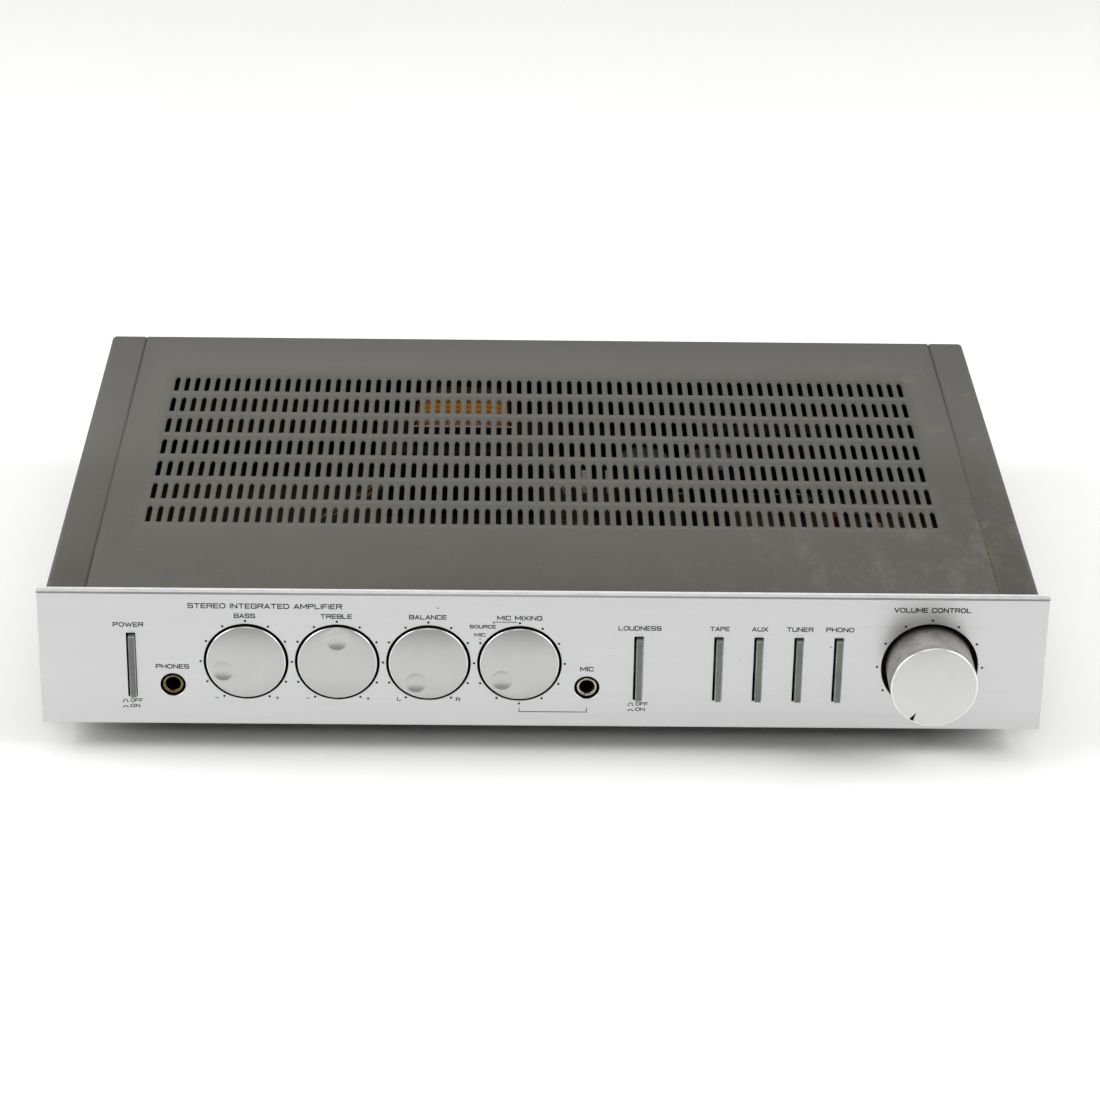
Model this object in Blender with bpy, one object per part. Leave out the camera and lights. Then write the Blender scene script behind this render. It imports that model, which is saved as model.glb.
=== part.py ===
"""Slim full-width integrated amplifier, modelled as its separate pieces.

Frame: metres, +Z up, +X to the right as seen from the front, +Y towards the back.
The origin is at the bottom centre of the whole object's box.
Depths are measured backwards from the front panel's front face, and heights from
the front panel's bottom edge, unless a name says otherwise.
"""
import math

import bmesh
import bpy
from mathutils import Matrix

# ---------------------------------------------------------------- driving sizes
# Case
PANEL_WIDTH = 0.440
PANEL_HEIGHT = 0.0646
PANEL_THICKNESS = 0.005
PANEL_CHAMFER = 0.0006
FLOOR_TO_PANEL = 0.0134        # the panel's bottom edge stands this far above the floor
CASE_WIDTH = 0.437             # outside of the cover's two sides
CASE_DEPTH = 0.305             # front face of the panel to the cover's rear edge
COVER_DROP = 0.0071            # the cover's top lies this far below the panel's top edge
COVER_SHEET = 0.001
COVER_BEND = 0.0025            # outer radius of the cover's two long bends
CHASSIS_SHEET = 0.0012
CHASSIS_RISE = 0.0016          # underside of the tray above the panel's bottom edge
TRAY_FLANGE = 0.026
SUBFRAME_DEPTH = 0.018         # front face of the subframe's upright web
GAP = 0.0003                   # between two pieces that meet
REAR_OVERHANG = 0.0008         # the cover's rear edge stands past the rear panel
TERMINAL_STANDOUT = 0.012      # the speaker terminals behind the rear panel

# Vents in the cover
VENT_ROWS = 7
VENT_COLUMNS = 73
VENT_PITCH_ACROSS = 0.005
VENT_PITCH_BACK = 0.025
VENT_WIDTH = 0.0021
VENT_LENGTH = 0.0165
VENT_FIELD_DEPTH = 0.16925     # middle row of the field

# Vents in the tray's floor
FLOOR_VENTS = 12
FLOOR_VENT_PITCH = 0.012
FLOOR_VENT_WIDTH = 0.003
FLOOR_VENT_LENGTH = 0.030
FLOOR_VENT_X = 0.090
FLOOR_VENT_DEPTH = 0.252

# Feet
FOOT_RADIUS_TOP = 0.014
FOOT_RADIUS_BOTTOM = 0.012
FOOT_RECESS_RADIUS = 0.0055
FOOT_RECESS_DEPTH = 0.006
FOOT_INSET_X = 0.042
FOOT_INSET_FRONT = 0.045
FOOT_INSET_REAR = 0.040
FOOT_SCREW_RADIUS = 0.002

# Cover screws, two in each side
COVER_SCREW_DEPTHS = {"front": 0.060, "rear": 0.255}
COVER_SCREW_HEIGHT = 0.018
COVER_SCREW_HEAD_RADIUS = 0.0034
COVER_SCREW_HEAD = 0.0010
COVER_SCREW_RADIUS = 0.0015
COVER_SCREW_LENGTH = 0.007
SCREW_CLEARANCE = 0.0004

# Rotary controls
CONTROL_HEIGHT = 0.0312
FIRST_CONTROL_X = -0.1298
CONTROL_PITCH = 0.0398
DISC_KNOBS = ("bass", "treble", "balance", "mic_mixing")
DIMPLE_ANGLES = {"bass": -113.0, "treble": 0.0, "balance": -150.0, "mic_mixing": -136.0}
DISC_RADIUS = 0.01737
DISC_CLEARANCE = 0.00105       # dark ring around each disc in its hole
DISC_PROUD = 0.0008
DISC_EDGE = 0.0006
DISC_SKIRT = 0.007             # the disc's back, behind the panel's front face
DIMPLE_RADIUS = 0.00465
DIMPLE_SINK = 0.0014
DIMPLE_OFFSET = 0.011
VOLUME_X = 0.1693
VOLUME_HEIGHT = 0.0309
VOLUME_RADIUS = 0.019
VOLUME_CLEARANCE = 0.0022
VOLUME_PROUD = 0.019
VOLUME_EDGE = 0.0006
VOLUME_SKIRT = 0.0035
VOLUME_POINTER_ANGLE = -150.0
POINTER_LENGTH = 0.0042
POINTER_WIDTH = 0.0022
POINTER_SINK = 0.0016
HUB_WALL = 0.0027
HUB_BACK = 0.010
SHAFT_RADIUS = 0.003
SHAFT_CLEARANCE = 0.0003
SHAFT_FRONT = 0.0028
SHAFT_IN_POT = 0.006           # how far the shaft reaches into the pot's body
BUSHING_WALL = 0.0011
BUSHING_FRONT = 0.0125
POT_WIDTH = 0.022
POT_LENGTH = 0.011
VOLUME_POT_WIDTH = 0.026
VOLUME_POT_LENGTH = 0.024

# Push buttons
BUTTON_HEIGHT = 0.0292         # middle of every slot
SLOT_WIDTH = 0.0040
SLOT_HEIGHT = 0.0313
BUTTON_CLEARANCE = 0.0006      # around the bar in its slot
BUTTON_PROUD = 0.002
BUTTON_TRAVEL = 0.003
POWER_X = -0.1797
LOUDNESS_X = 0.0416
FIRST_SOURCE_X = 0.0765
SOURCE_PITCH = 0.0175
SOURCE_BUTTONS = ("tape", "aux", "tuner", "phono")
BUTTON_HUB_FRONT = 0.007
BUTTON_HUB_BACK = 0.013
BUTTON_HUB_WIDTH = 0.008
BUTTON_HUB_HEIGHT = 0.012
PLUNGER_WIDTH = 0.003
PLUNGER_HEIGHT = 0.006
PLUNGER_GRIP = 0.0035          # length held in the button's hub
PLUNGER_IN_SWITCH = 0.011
PLUNGER_CLEARANCE = 0.0004
SWITCH_HEIGHT = 0.016
SWITCH_WIDTH = 0.013
SWITCH_LENGTH = 0.028
POWER_SWITCH_LENGTH = 0.034

# Front jacks
JACK_XS = {"phones": -0.1620, "mic": 0.0193}
JACK_HEIGHT = 0.0195
JACK_CLEARANCE = 0.00095       # dark ring around each bushing in its hole
JACK_WALL = 0.00141
JACK_BUSHING_FRONT = 0.0004
JACK_BORE_RADIUS = 0.00317
JACK_BORE_LENGTH = 0.034
JACK_BODY_WIDTH = 0.016
JACK_BODY_LENGTH = 0.024

# Mains transformer: a flat core with its middle limb running front to back
CORE_X = -0.038
CORE_DEPTH = 0.251
CORE_WIDTH = 0.078
CORE_LENGTH = 0.086
CORE_STACK = 0.024
CORE_LIMB = 0.024
CORE_YOKE = 0.015
CORE_WINDOW = 0.0135
CORE_LIFT = 0.010              # the core stands on four legs of this height
CORE_LEG = 0.010
WINDING_BUILD = 0.009          # thickness of copper and tape above and below the limb
WINDING_GAP = 0.0004

# Power board and what stands on it
BOARD_X = 0.1075
BOARD_DEPTH = 0.135
BOARD_WIDTH = 0.195
BOARD_LENGTH = 0.130
BOARD_THICKNESS = 0.0016
BOARD_LIFT = 0.008
BOARD_HOLE_INSET = 0.006
BOARD_HOLE_RADIUS = 0.0016
BOSS_RADIUS = 0.0035
CAPACITOR_RADIUS = 0.0125
CAPACITOR_HEIGHT = 0.036
CAPACITOR_OFFSETS = {"left": -0.0575, "right": -0.0255}   # from the board's middle
CAPACITOR_SETBACK = 0.045      # behind the board's middle
SINK_X = 0.110
SINK_DEPTH = 0.238             # front face of the heat sink's base plate
SINK_WIDTH = 0.110
SINK_BASE = 0.004
SINK_FIN_LENGTH = 0.028
SINK_FIN = 0.0016
SINK_FINS = 11
SINK_HEIGHT = 0.042
MODULE_WIDTH = 0.062
MODULE_HEIGHT = 0.026
MODULE_THICKNESS = 0.008
MODULE_LIFT = 0.012

# Rear terminals
SOCKET_COLUMNS = 5
SOCKET_ROWS = 2
SOCKET_PITCH_X = 0.018
SOCKET_PITCH_Z = 0.017
SOCKET_X = 0.150
SOCKET_HEIGHT = 0.030
SOCKET_BORE_RADIUS = 0.0016
SOCKET_WALL = 0.0025
SOCKET_STANDOUT = 0.009
SOCKET_BLOCK_DEPTH = 0.010
SOCKET_BLOCK_MARGIN = 0.006
SPEAKER_X = 0.042
SPEAKER_HEIGHT = 0.030
SPEAKER_BLOCK_HEIGHT = 0.026
SPEAKER_PITCH = 0.014
SPEAKER_LEVERS = ("left_minus", "left_plus", "right_minus", "right_plus")
SPEAKER_BLOCK_INSIDE = 0.012
LEVER_WIDTH = 0.010
LEVER_THICKNESS = 0.0028
LEVER_HEIGHT = 0.011
LEVER_BARREL_RADIUS = 0.0016
LEVER_AXIS_IN = 0.0036         # hinge axis, in from the block's rear face
LEVER_AXIS_DROP = 0.003        # hinge axis below the middle of the block
LEVER_LEDGE = 0.0018
LEVER_LEDGE_HEIGHT = 0.0025
LEVER_CLEARANCE = 0.0007
LEVER_POCKET_DEPTH = 0.009
WIRE_HOLE_RADIUS = 0.0015
WIRE_HOLE_DEPTH = 0.012
WIRE_HOLE_DROP = 0.005         # wire hole below the hinge axis
GLAND_X = -0.190
GLAND_HEIGHT = 0.020
GLAND_WALL = 0.0027
GLAND_FLANGE_LIP = 0.002
GLAND_FLANGE = 0.002
GLAND_STANDOUT = 0.006
GLAND_BORE_RADIUS = 0.0038
GROUND_X = 0.085
GROUND_HEIGHT = 0.030
GROUND_SCREW_RADIUS = 0.002
GROUND_HEAD_LIP = 0.003
GROUND_HEAD_LENGTH = 0.007
GROUND_COLLAR_LIP = 0.0025
GROUND_COLLAR_LENGTH = 0.003

# Facets around a full circle
FINE = 36
MEDIUM = 20
COARSE = 12
BEND_STEPS = 3                 # facets in each bend of the cover

# ---------------------------------------------------------------- derived places
REAR_DEPTH = CASE_DEPTH - REAR_OVERHANG            # rear face of the rear panel
PANEL_FRONT_Y = (VOLUME_PROUD - (REAR_DEPTH + TERMINAL_STANDOUT)) / 2
PANEL_BACK = PANEL_THICKNESS + GAP                 # where the case begins
COVER_TOP_Z = FLOOR_TO_PANEL + PANEL_HEIGHT - COVER_DROP
UNDER_COVER_Z = COVER_TOP_Z - COVER_SHEET - GAP
TRAY_BOTTOM_Z = FLOOR_TO_PANEL + CHASSIS_RISE
TRAY_FLOOR_Z = TRAY_BOTTOM_Z + CHASSIS_SHEET
INNER_HALF_WIDTH = CASE_WIDTH / 2 - COVER_SHEET - GAP
SUBFRAME_BACK = SUBFRAME_DEPTH + CHASSIS_SHEET
BEHIND_SUBFRAME = SUBFRAME_BACK + GAP
REAR_INSIDE = REAR_DEPTH - CHASSIS_SHEET           # front face of the rear panel
DISC_HOLE_RADIUS = DISC_RADIUS + DISC_CLEARANCE
VOLUME_HOLE_RADIUS = VOLUME_RADIUS + VOLUME_CLEARANCE
SHAFT_BORE_RADIUS = SHAFT_RADIUS + SHAFT_CLEARANCE
HUB_RADIUS = SHAFT_BORE_RADIUS + HUB_WALL
BUSHING_RADIUS = SHAFT_BORE_RADIUS + BUSHING_WALL
JACK_BUSHING_RADIUS = JACK_BORE_RADIUS + JACK_WALL
JACK_HOLE_RADIUS = JACK_BUSHING_RADIUS + JACK_CLEARANCE
SOCKET_RADIUS = SOCKET_BORE_RADIUS + SOCKET_WALL
GLAND_RADIUS = GLAND_BORE_RADIUS + GLAND_WALL
GLAND_FLANGE_RADIUS = GLAND_RADIUS + GLAND_FLANGE_LIP
GROUND_HEAD_RADIUS = GROUND_SCREW_RADIUS + GROUND_HEAD_LIP
GROUND_COLLAR_RADIUS = GROUND_SCREW_RADIUS + GROUND_COLLAR_LIP
CONTROL_XS = {name: FIRST_CONTROL_X + i * CONTROL_PITCH for i, name in enumerate(DISC_KNOBS)}
SOURCE_XS = {name: FIRST_SOURCE_X + i * SOURCE_PITCH for i, name in enumerate(SOURCE_BUTTONS)}
BUTTON_XS = {"power": POWER_X, "loudness": LOUDNESS_X, **SOURCE_XS}
CORE_Z = TRAY_FLOOR_Z + GAP + CORE_LIFT + CORE_STACK / 2
BOARD_Z = TRAY_FLOOR_Z + BOARD_LIFT                # underside of the board
SPEAKER_Z = FLOOR_TO_PANEL + SPEAKER_HEIGHT
LEVER_AXIS_DEPTH = REAR_DEPTH + TERMINAL_STANDOUT - LEVER_AXIS_IN
LEVER_AXIS_Z = SPEAKER_Z - LEVER_AXIS_DROP


def world_y(depth):
    """World Y of a depth behind the front panel's front face."""
    return PANEL_FRONT_Y + depth


def world_z(height):
    """World Z of a height above the front panel's bottom edge."""
    return FLOOR_TO_PANEL + height


# ---------------------------------------------------------------- modelling tools
FACING = {"X": Matrix.Rotation(math.pi / 2, 4, "Y"),
          "Y": Matrix.Rotation(-math.pi / 2, 4, "X"),
          "Z": Matrix.Identity(4)}


def material(name, colour, roughness, metallic=0.0):
    """A Principled material from an sRGB hex colour."""
    srgb = [int(colour[i:i + 2], 16) / 255 for i in (1, 3, 5)]
    linear = [c / 12.92 if c <= 0.04045 else ((c + 0.055) / 1.055) ** 2.4 for c in srgb]
    mat = bpy.data.materials.new(name)
    mat.use_nodes = True
    shader = mat.node_tree.nodes["Principled BSDF"]
    shader.inputs["Base Color"].default_value = (*linear, 1.0)
    shader.inputs["Roughness"].default_value = roughness
    shader.inputs["Metallic"].default_value = metallic
    mat.diffuse_color = (*linear, 1.0)
    return mat


def add_box(bm, low, high):
    """A box between two corners; returns its vertices."""
    size = [b - a for a, b in zip(low, high)]
    middle = [(a + b) / 2 for a, b in zip(low, high)]
    matrix = Matrix.Translation(middle) @ Matrix.Diagonal((*size, 1.0))
    return bmesh.ops.create_cube(bm, size=1.0, matrix=matrix)["verts"]


def add_rod(bm, start, axis, radius, length, segments):
    """A cylinder that begins at a point and runs along +X, +Y or +Z."""
    shift = FACING[axis] @ Matrix.Translation((0.0, 0.0, length / 2))
    bmesh.ops.create_cone(bm, cap_ends=True, segments=segments, radius1=radius,
                          radius2=radius, depth=length, matrix=Matrix.Translation(start) @ shift)


def add_turned(bm, profile, axis, segments, ring=False):
    """A body turned about an axis through the origin, from (radius, distance) points."""
    points = [bm.verts.new((r, 0.0, along)) for r, along in profile]
    pairs = list(zip(points, points[1:] + points[:1])) if ring else list(zip(points, points[1:]))
    edges = [bm.edges.new(pair) for pair in pairs]
    bmesh.ops.spin(bm, geom=points + edges, cent=(0, 0, 0), axis=(0, 0, 1),
                   angle=2 * math.pi, steps=segments, use_merge=True)
    bmesh.ops.remove_doubles(bm, verts=bm.verts, dist=1e-6)
    bmesh.ops.transform(bm, matrix=FACING[axis], verts=bm.verts)


def add_extruded(bm, outline, start, end, axis):
    """An outline pushed along X, Y or Z. Its points are the other two coordinates, in order."""
    place = {"X": lambda a, b: (start, a, b), "Y": lambda a, b: (a, start, b),
             "Z": lambda a, b: (a, b, start)}[axis]
    face = bm.faces.new([bm.verts.new(place(a, b)) for a, b in outline])
    grown = bmesh.ops.extrude_face_region(bm, geom=[face])["geom"]
    moved = [v for v in grown if isinstance(v, bmesh.types.BMVert)]
    step = [end - start if name == axis else 0.0 for name in "XYZ"]
    bmesh.ops.translate(bm, verts=moved, vec=step)


def arc(centre, radius, first, last, steps):
    """Points on an arc, both ends included, angles in degrees."""
    angles = [math.radians(first + (last - first) * i / steps) for i in range(steps + 1)]
    return [(centre[0] + radius * math.cos(a), centre[1] + radius * math.sin(a)) for a in angles]


def body(name, bm, mat, place=(0, 0, 0), parent=None, smooth=False):
    """Turns a bmesh into a named object at a place, facing outwards."""
    bmesh.ops.recalc_face_normals(bm, faces=bm.faces)
    mesh = bpy.data.meshes.new(name)
    bm.to_mesh(mesh)
    bm.free()
    if smooth:
        mesh.shade_smooth()
        mesh.set_sharp_from_angle(angle=math.radians(35))
    if mat:
        mesh.materials.append(mat)
    obj = bpy.data.objects.new(name, mesh)
    bpy.context.scene.collection.objects.link(obj)
    obj.location = place
    obj.parent = parent
    return obj


def combine(obj, bm, operation):
    """Cuts a helper shape out of an object, or joins it on, in the object's own frame."""
    helper = body(f"{obj.name}_{operation.lower()}", bm, None, obj.location, obj.parent)
    helper.display_type = "WIRE"
    helper.hide_render = True
    modifier = obj.modifiers.new(operation.title(), "BOOLEAN")
    modifier.operation = operation
    modifier.solver = "EXACT"
    modifier.object = helper


def empty(name, place, parent=None):
    """A guide that carries the pieces of one moving group."""
    guide = bpy.data.objects.new(name, None)
    guide.empty_display_size = 0.01
    bpy.context.scene.collection.objects.link(guide)
    guide.location = place
    guide.parent = parent
    return guide


# ---------------------------------------------------------------- case
def make_front_panel(mats, case):
    bm = bmesh.new()
    add_box(bm, (-PANEL_WIDTH / 2, 0, 0), (PANEL_WIDTH / 2, PANEL_THICKNESS, PANEL_HEIGHT))
    front = [e for e in bm.edges if all(abs(v.co.y) < 1e-7 for v in e.verts)]
    bmesh.ops.bevel(bm, geom=front, offset=PANEL_CHAMFER, offset_type="OFFSET", segments=1,
                    profile=0.5, affect="EDGES", material=-1)
    panel = body("front_panel", bm, mats["aluminium"], (0, world_y(0), world_z(0)), case)
    through = PANEL_THICKNESS * 3
    cut = bmesh.new()
    for x in CONTROL_XS.values():
        add_rod(cut, (x, -PANEL_THICKNESS, CONTROL_HEIGHT), "Y", DISC_HOLE_RADIUS, through, FINE)
    add_rod(cut, (VOLUME_X, -PANEL_THICKNESS, VOLUME_HEIGHT), "Y", VOLUME_HOLE_RADIUS, through, FINE)
    for x in JACK_XS.values():
        add_rod(cut, (x, -PANEL_THICKNESS, JACK_HEIGHT), "Y", JACK_HOLE_RADIUS, through, MEDIUM)
    for x in BUTTON_XS.values():
        add_box(cut, (x - SLOT_WIDTH / 2, -PANEL_THICKNESS, BUTTON_HEIGHT - SLOT_HEIGHT / 2),
                (x + SLOT_WIDTH / 2, 2 * PANEL_THICKNESS, BUTTON_HEIGHT + SLOT_HEIGHT / 2))
    combine(panel, cut, "DIFFERENCE")


def make_front_subframe(mats, case):
    """A channel behind the panel: an upright web with a top and a bottom flange."""
    low = TRAY_FLOOR_Z + GAP
    high = UNDER_COVER_Z
    sheet = CHASSIS_SHEET
    outline = [(PANEL_BACK, low), (SUBFRAME_BACK, low), (SUBFRAME_BACK, high), (PANEL_BACK, high),
               (PANEL_BACK, high - sheet), (SUBFRAME_DEPTH, high - sheet),
               (SUBFRAME_DEPTH, low + sheet), (PANEL_BACK, low + sheet)]
    half = INNER_HALF_WIDTH - CHASSIS_SHEET - GAP
    bm = bmesh.new()
    add_extruded(bm, outline, -half, half, "X")
    frame = body("front_subframe", bm, mats["steel"], (0, world_y(0), 0), case)
    start = SUBFRAME_DEPTH - sheet
    through = 3 * sheet
    cut = bmesh.new()
    for x in CONTROL_XS.values():
        add_rod(cut, (x, start, world_z(CONTROL_HEIGHT)), "Y", BUSHING_RADIUS + GAP, through, COARSE)
    add_rod(cut, (VOLUME_X, start, world_z(VOLUME_HEIGHT)), "Y", BUSHING_RADIUS + GAP, through, COARSE)
    for x in JACK_XS.values():
        add_rod(cut, (x, start, world_z(JACK_HEIGHT)), "Y", JACK_BUSHING_RADIUS + GAP, through, MEDIUM)
    half_width = PLUNGER_WIDTH / 2 + PLUNGER_CLEARANCE
    half_height = PLUNGER_HEIGHT / 2 + PLUNGER_CLEARANCE
    for x in BUTTON_XS.values():
        add_box(cut, (x - half_width, start, world_z(BUTTON_HEIGHT) - half_height),
                (x + half_width, start + through, world_z(BUTTON_HEIGHT) + half_height))
    combine(frame, cut, "DIFFERENCE")


def board_hole_places():
    """X and depth of the power board's four fixing holes."""
    half_x = BOARD_WIDTH / 2 - BOARD_HOLE_INSET
    half_y = BOARD_LENGTH / 2 - BOARD_HOLE_INSET
    return [(BOARD_X + sx * half_x, BOARD_DEPTH + sy * half_y) for sx in (-1, 1) for sy in (-1, 1)]


def foot_places():
    """Name, X and depth of each foot."""
    half = CASE_WIDTH / 2 - FOOT_INSET_X
    rows = {"front": FOOT_INSET_FRONT, "rear": CASE_DEPTH - FOOT_INSET_REAR}
    return [(f"{row}_{side}", sign * half, depth) for row, depth in rows.items()
            for side, sign in (("left", -1), ("right", 1))]


def make_chassis_tray(mats, case):
    half = INNER_HALF_WIDTH
    base = TRAY_BOTTOM_Z
    top = base + TRAY_FLANGE
    sheet = CHASSIS_SHEET
    outline = [(-half, base), (half, base), (half, top), (half - sheet, top),
               (half - sheet, base + sheet), (-half + sheet, base + sheet),
               (-half + sheet, top), (-half, top)]
    bm = bmesh.new()
    add_extruded(bm, outline, PANEL_BACK, REAR_INSIDE - GAP, "Y")
    tray = body("chassis_tray", bm, mats["steel"], (0, world_y(0), 0), case)
    bosses = bmesh.new()
    for x, depth in board_hole_places():
        add_rod(bosses, (x, depth, base + sheet / 2), "Z", BOSS_RADIUS,
                BOARD_LIFT - GAP + sheet / 2, COARSE)
    combine(tray, bosses, "UNION")
    cut = bmesh.new()
    for _, x, depth in foot_places():
        add_rod(cut, (x, depth, base - sheet), "Z", FOOT_SCREW_RADIUS, 3 * sheet, COARSE)
    for depth in COVER_SCREW_DEPTHS.values():
        for side in (-1, 1):
            start = side * half - 2 * sheet
            add_rod(cut, (start, depth, world_z(COVER_SCREW_HEIGHT)), "X",
                    COVER_SCREW_RADIUS + SCREW_CLEARANCE, 4 * sheet, COARSE)
    first = FLOOR_VENT_X - FLOOR_VENT_PITCH * (FLOOR_VENTS - 1) / 2
    for i in range(FLOOR_VENTS):
        x = first + i * FLOOR_VENT_PITCH
        add_box(cut, (x - FLOOR_VENT_WIDTH / 2, FLOOR_VENT_DEPTH - FLOOR_VENT_LENGTH / 2, base - sheet),
                (x + FLOOR_VENT_WIDTH / 2, FLOOR_VENT_DEPTH + FLOOR_VENT_LENGTH / 2, base + 2 * sheet))
    combine(tray, cut, "DIFFERENCE")


def make_top_cover(mats, case):
    """A folded sheet: a slotted top and two sides, open at the front, rear and bottom."""
    half = CASE_WIDTH / 2
    bottom = TRAY_BOTTOM_Z
    bend = COVER_BEND
    inner = bend - COVER_SHEET
    left = (-half + bend, COVER_TOP_Z - bend)
    right = (half - bend, COVER_TOP_Z - bend)
    steps = BEND_STEPS
    outline = [(-half, bottom)] + arc(left, bend, 180, 90, steps) + arc(right, bend, 90, 0, steps)
    outline += [(half, bottom), (half - COVER_SHEET, bottom)]
    outline += arc(right, inner, 0, 90, steps) + arc(left, inner, 90, 180, steps)
    outline += [(-half + COVER_SHEET, bottom)]
    bm = bmesh.new()
    add_extruded(bm, outline, PANEL_BACK, CASE_DEPTH, "Y")
    cover = body("top_cover", bm, mats["painted_steel"], (0, world_y(0), 0), case)
    cut = bmesh.new()
    for row in range(VENT_ROWS):
        depth = VENT_FIELD_DEPTH + (row - (VENT_ROWS - 1) / 2) * VENT_PITCH_BACK
        for column in range(VENT_COLUMNS):
            x = (column - (VENT_COLUMNS - 1) / 2) * VENT_PITCH_ACROSS
            add_box(cut, (x - VENT_WIDTH / 2, depth - VENT_LENGTH / 2, COVER_TOP_Z - 2 * COVER_SHEET),
                    (x + VENT_WIDTH / 2, depth + VENT_LENGTH / 2, COVER_TOP_Z + COVER_SHEET))
    for depth in COVER_SCREW_DEPTHS.values():
        for side in (-1, 1):
            start = side * half - 2 * COVER_SHEET
            add_rod(cut, (start, depth, world_z(COVER_SCREW_HEIGHT)), "X",
                    COVER_SCREW_RADIUS + SCREW_CLEARANCE, 4 * COVER_SHEET, COARSE)
    combine(cover, cut, "DIFFERENCE")


def socket_places():
    """X and height of each input socket's centre."""
    return [(SOCKET_X + (i - (SOCKET_COLUMNS - 1) / 2) * SOCKET_PITCH_X,
             SOCKET_HEIGHT + (j - (SOCKET_ROWS - 1) / 2) * SOCKET_PITCH_Z)
            for i in range(SOCKET_COLUMNS) for j in range(SOCKET_ROWS)]


def speaker_block_half_width():
    return (len(SPEAKER_LEVERS) * SPEAKER_PITCH + LEVER_CLEARANCE) / 2


def make_rear_panel(mats, case):
    """A flat plate with rounded top corners that follow the inside of the cover's bends."""
    half = INNER_HALF_WIDTH
    corner_x = CASE_WIDTH / 2 - COVER_BEND
    corner_z = COVER_TOP_Z - COVER_BEND
    radius = COVER_BEND - COVER_SHEET - GAP
    outline = [(-half, TRAY_BOTTOM_Z)] + arc((-corner_x, corner_z), radius, 180, 90, BEND_STEPS)
    outline += arc((corner_x, corner_z), radius, 90, 0, BEND_STEPS) + [(half, TRAY_BOTTOM_Z)]
    bm = bmesh.new()
    add_extruded(bm, outline, REAR_INSIDE, REAR_DEPTH, "Y")
    panel = body("rear_panel", bm, mats["painted_steel"], (0, world_y(0), 0), case)
    start = REAR_INSIDE - CHASSIS_SHEET
    through = 3 * CHASSIS_SHEET
    cut = bmesh.new()
    for x, height in socket_places():
        add_rod(cut, (x, start, world_z(height)), "Y", SOCKET_RADIUS + 2 * GAP, through, COARSE)
    add_rod(cut, (GLAND_X, start, world_z(GLAND_HEIGHT)), "Y", GLAND_RADIUS + GAP, through, MEDIUM)
    add_rod(cut, (GROUND_X, start, world_z(GROUND_HEIGHT)), "Y", GROUND_SCREW_RADIUS + GAP,
            through, COARSE)
    wide = speaker_block_half_width() + GAP
    tall = SPEAKER_BLOCK_HEIGHT / 2 + GAP
    add_box(cut, (SPEAKER_X - wide, start, SPEAKER_Z - tall),
            (SPEAKER_X + wide, start + through, SPEAKER_Z + tall))
    combine(panel, cut, "DIFFERENCE")


def make_feet(mats, case):
    tall = TRAY_BOTTOM_Z - GAP
    profile = [(FOOT_SCREW_RADIUS, FOOT_RECESS_DEPTH), (FOOT_RECESS_RADIUS, FOOT_RECESS_DEPTH),
               (FOOT_RECESS_RADIUS, 0), (FOOT_RADIUS_BOTTOM, 0), (FOOT_RADIUS_TOP, tall),
               (FOOT_SCREW_RADIUS, tall)]
    for name, x, depth in foot_places():
        bm = bmesh.new()
        add_turned(bm, profile, "Z", MEDIUM, ring=True)
        body(f"foot_{name}", bm, mats["black_plastic"], (x, world_y(depth), 0), case, smooth=True)


def make_cover_screws(mats, case):
    """Screws along X: the head lies outside the cover, the shank passes cover and tray."""
    seat = CASE_WIDTH / 2 + GAP
    for row, depth in COVER_SCREW_DEPTHS.items():
        for side, sign in (("left", -1), ("right", 1)):
            bm = bmesh.new()
            profile = [(0, COVER_SCREW_HEAD), (COVER_SCREW_HEAD_RADIUS * 0.75, COVER_SCREW_HEAD),
                       (COVER_SCREW_HEAD_RADIUS, COVER_SCREW_HEAD / 2), (COVER_SCREW_HEAD_RADIUS, 0),
                       (COVER_SCREW_RADIUS, 0), (COVER_SCREW_RADIUS, -COVER_SCREW_LENGTH),
                       (0, -COVER_SCREW_LENGTH)]
            add_turned(bm, profile, "X", COARSE)
            bmesh.ops.scale(bm, vec=(sign, 1, 1), verts=bm.verts)
            place = (sign * seat, world_y(depth), world_z(COVER_SCREW_HEIGHT))
            body(f"cover_screw_{row}_{side}", bm, mats["black_screw"], place, case, smooth=True)


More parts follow.
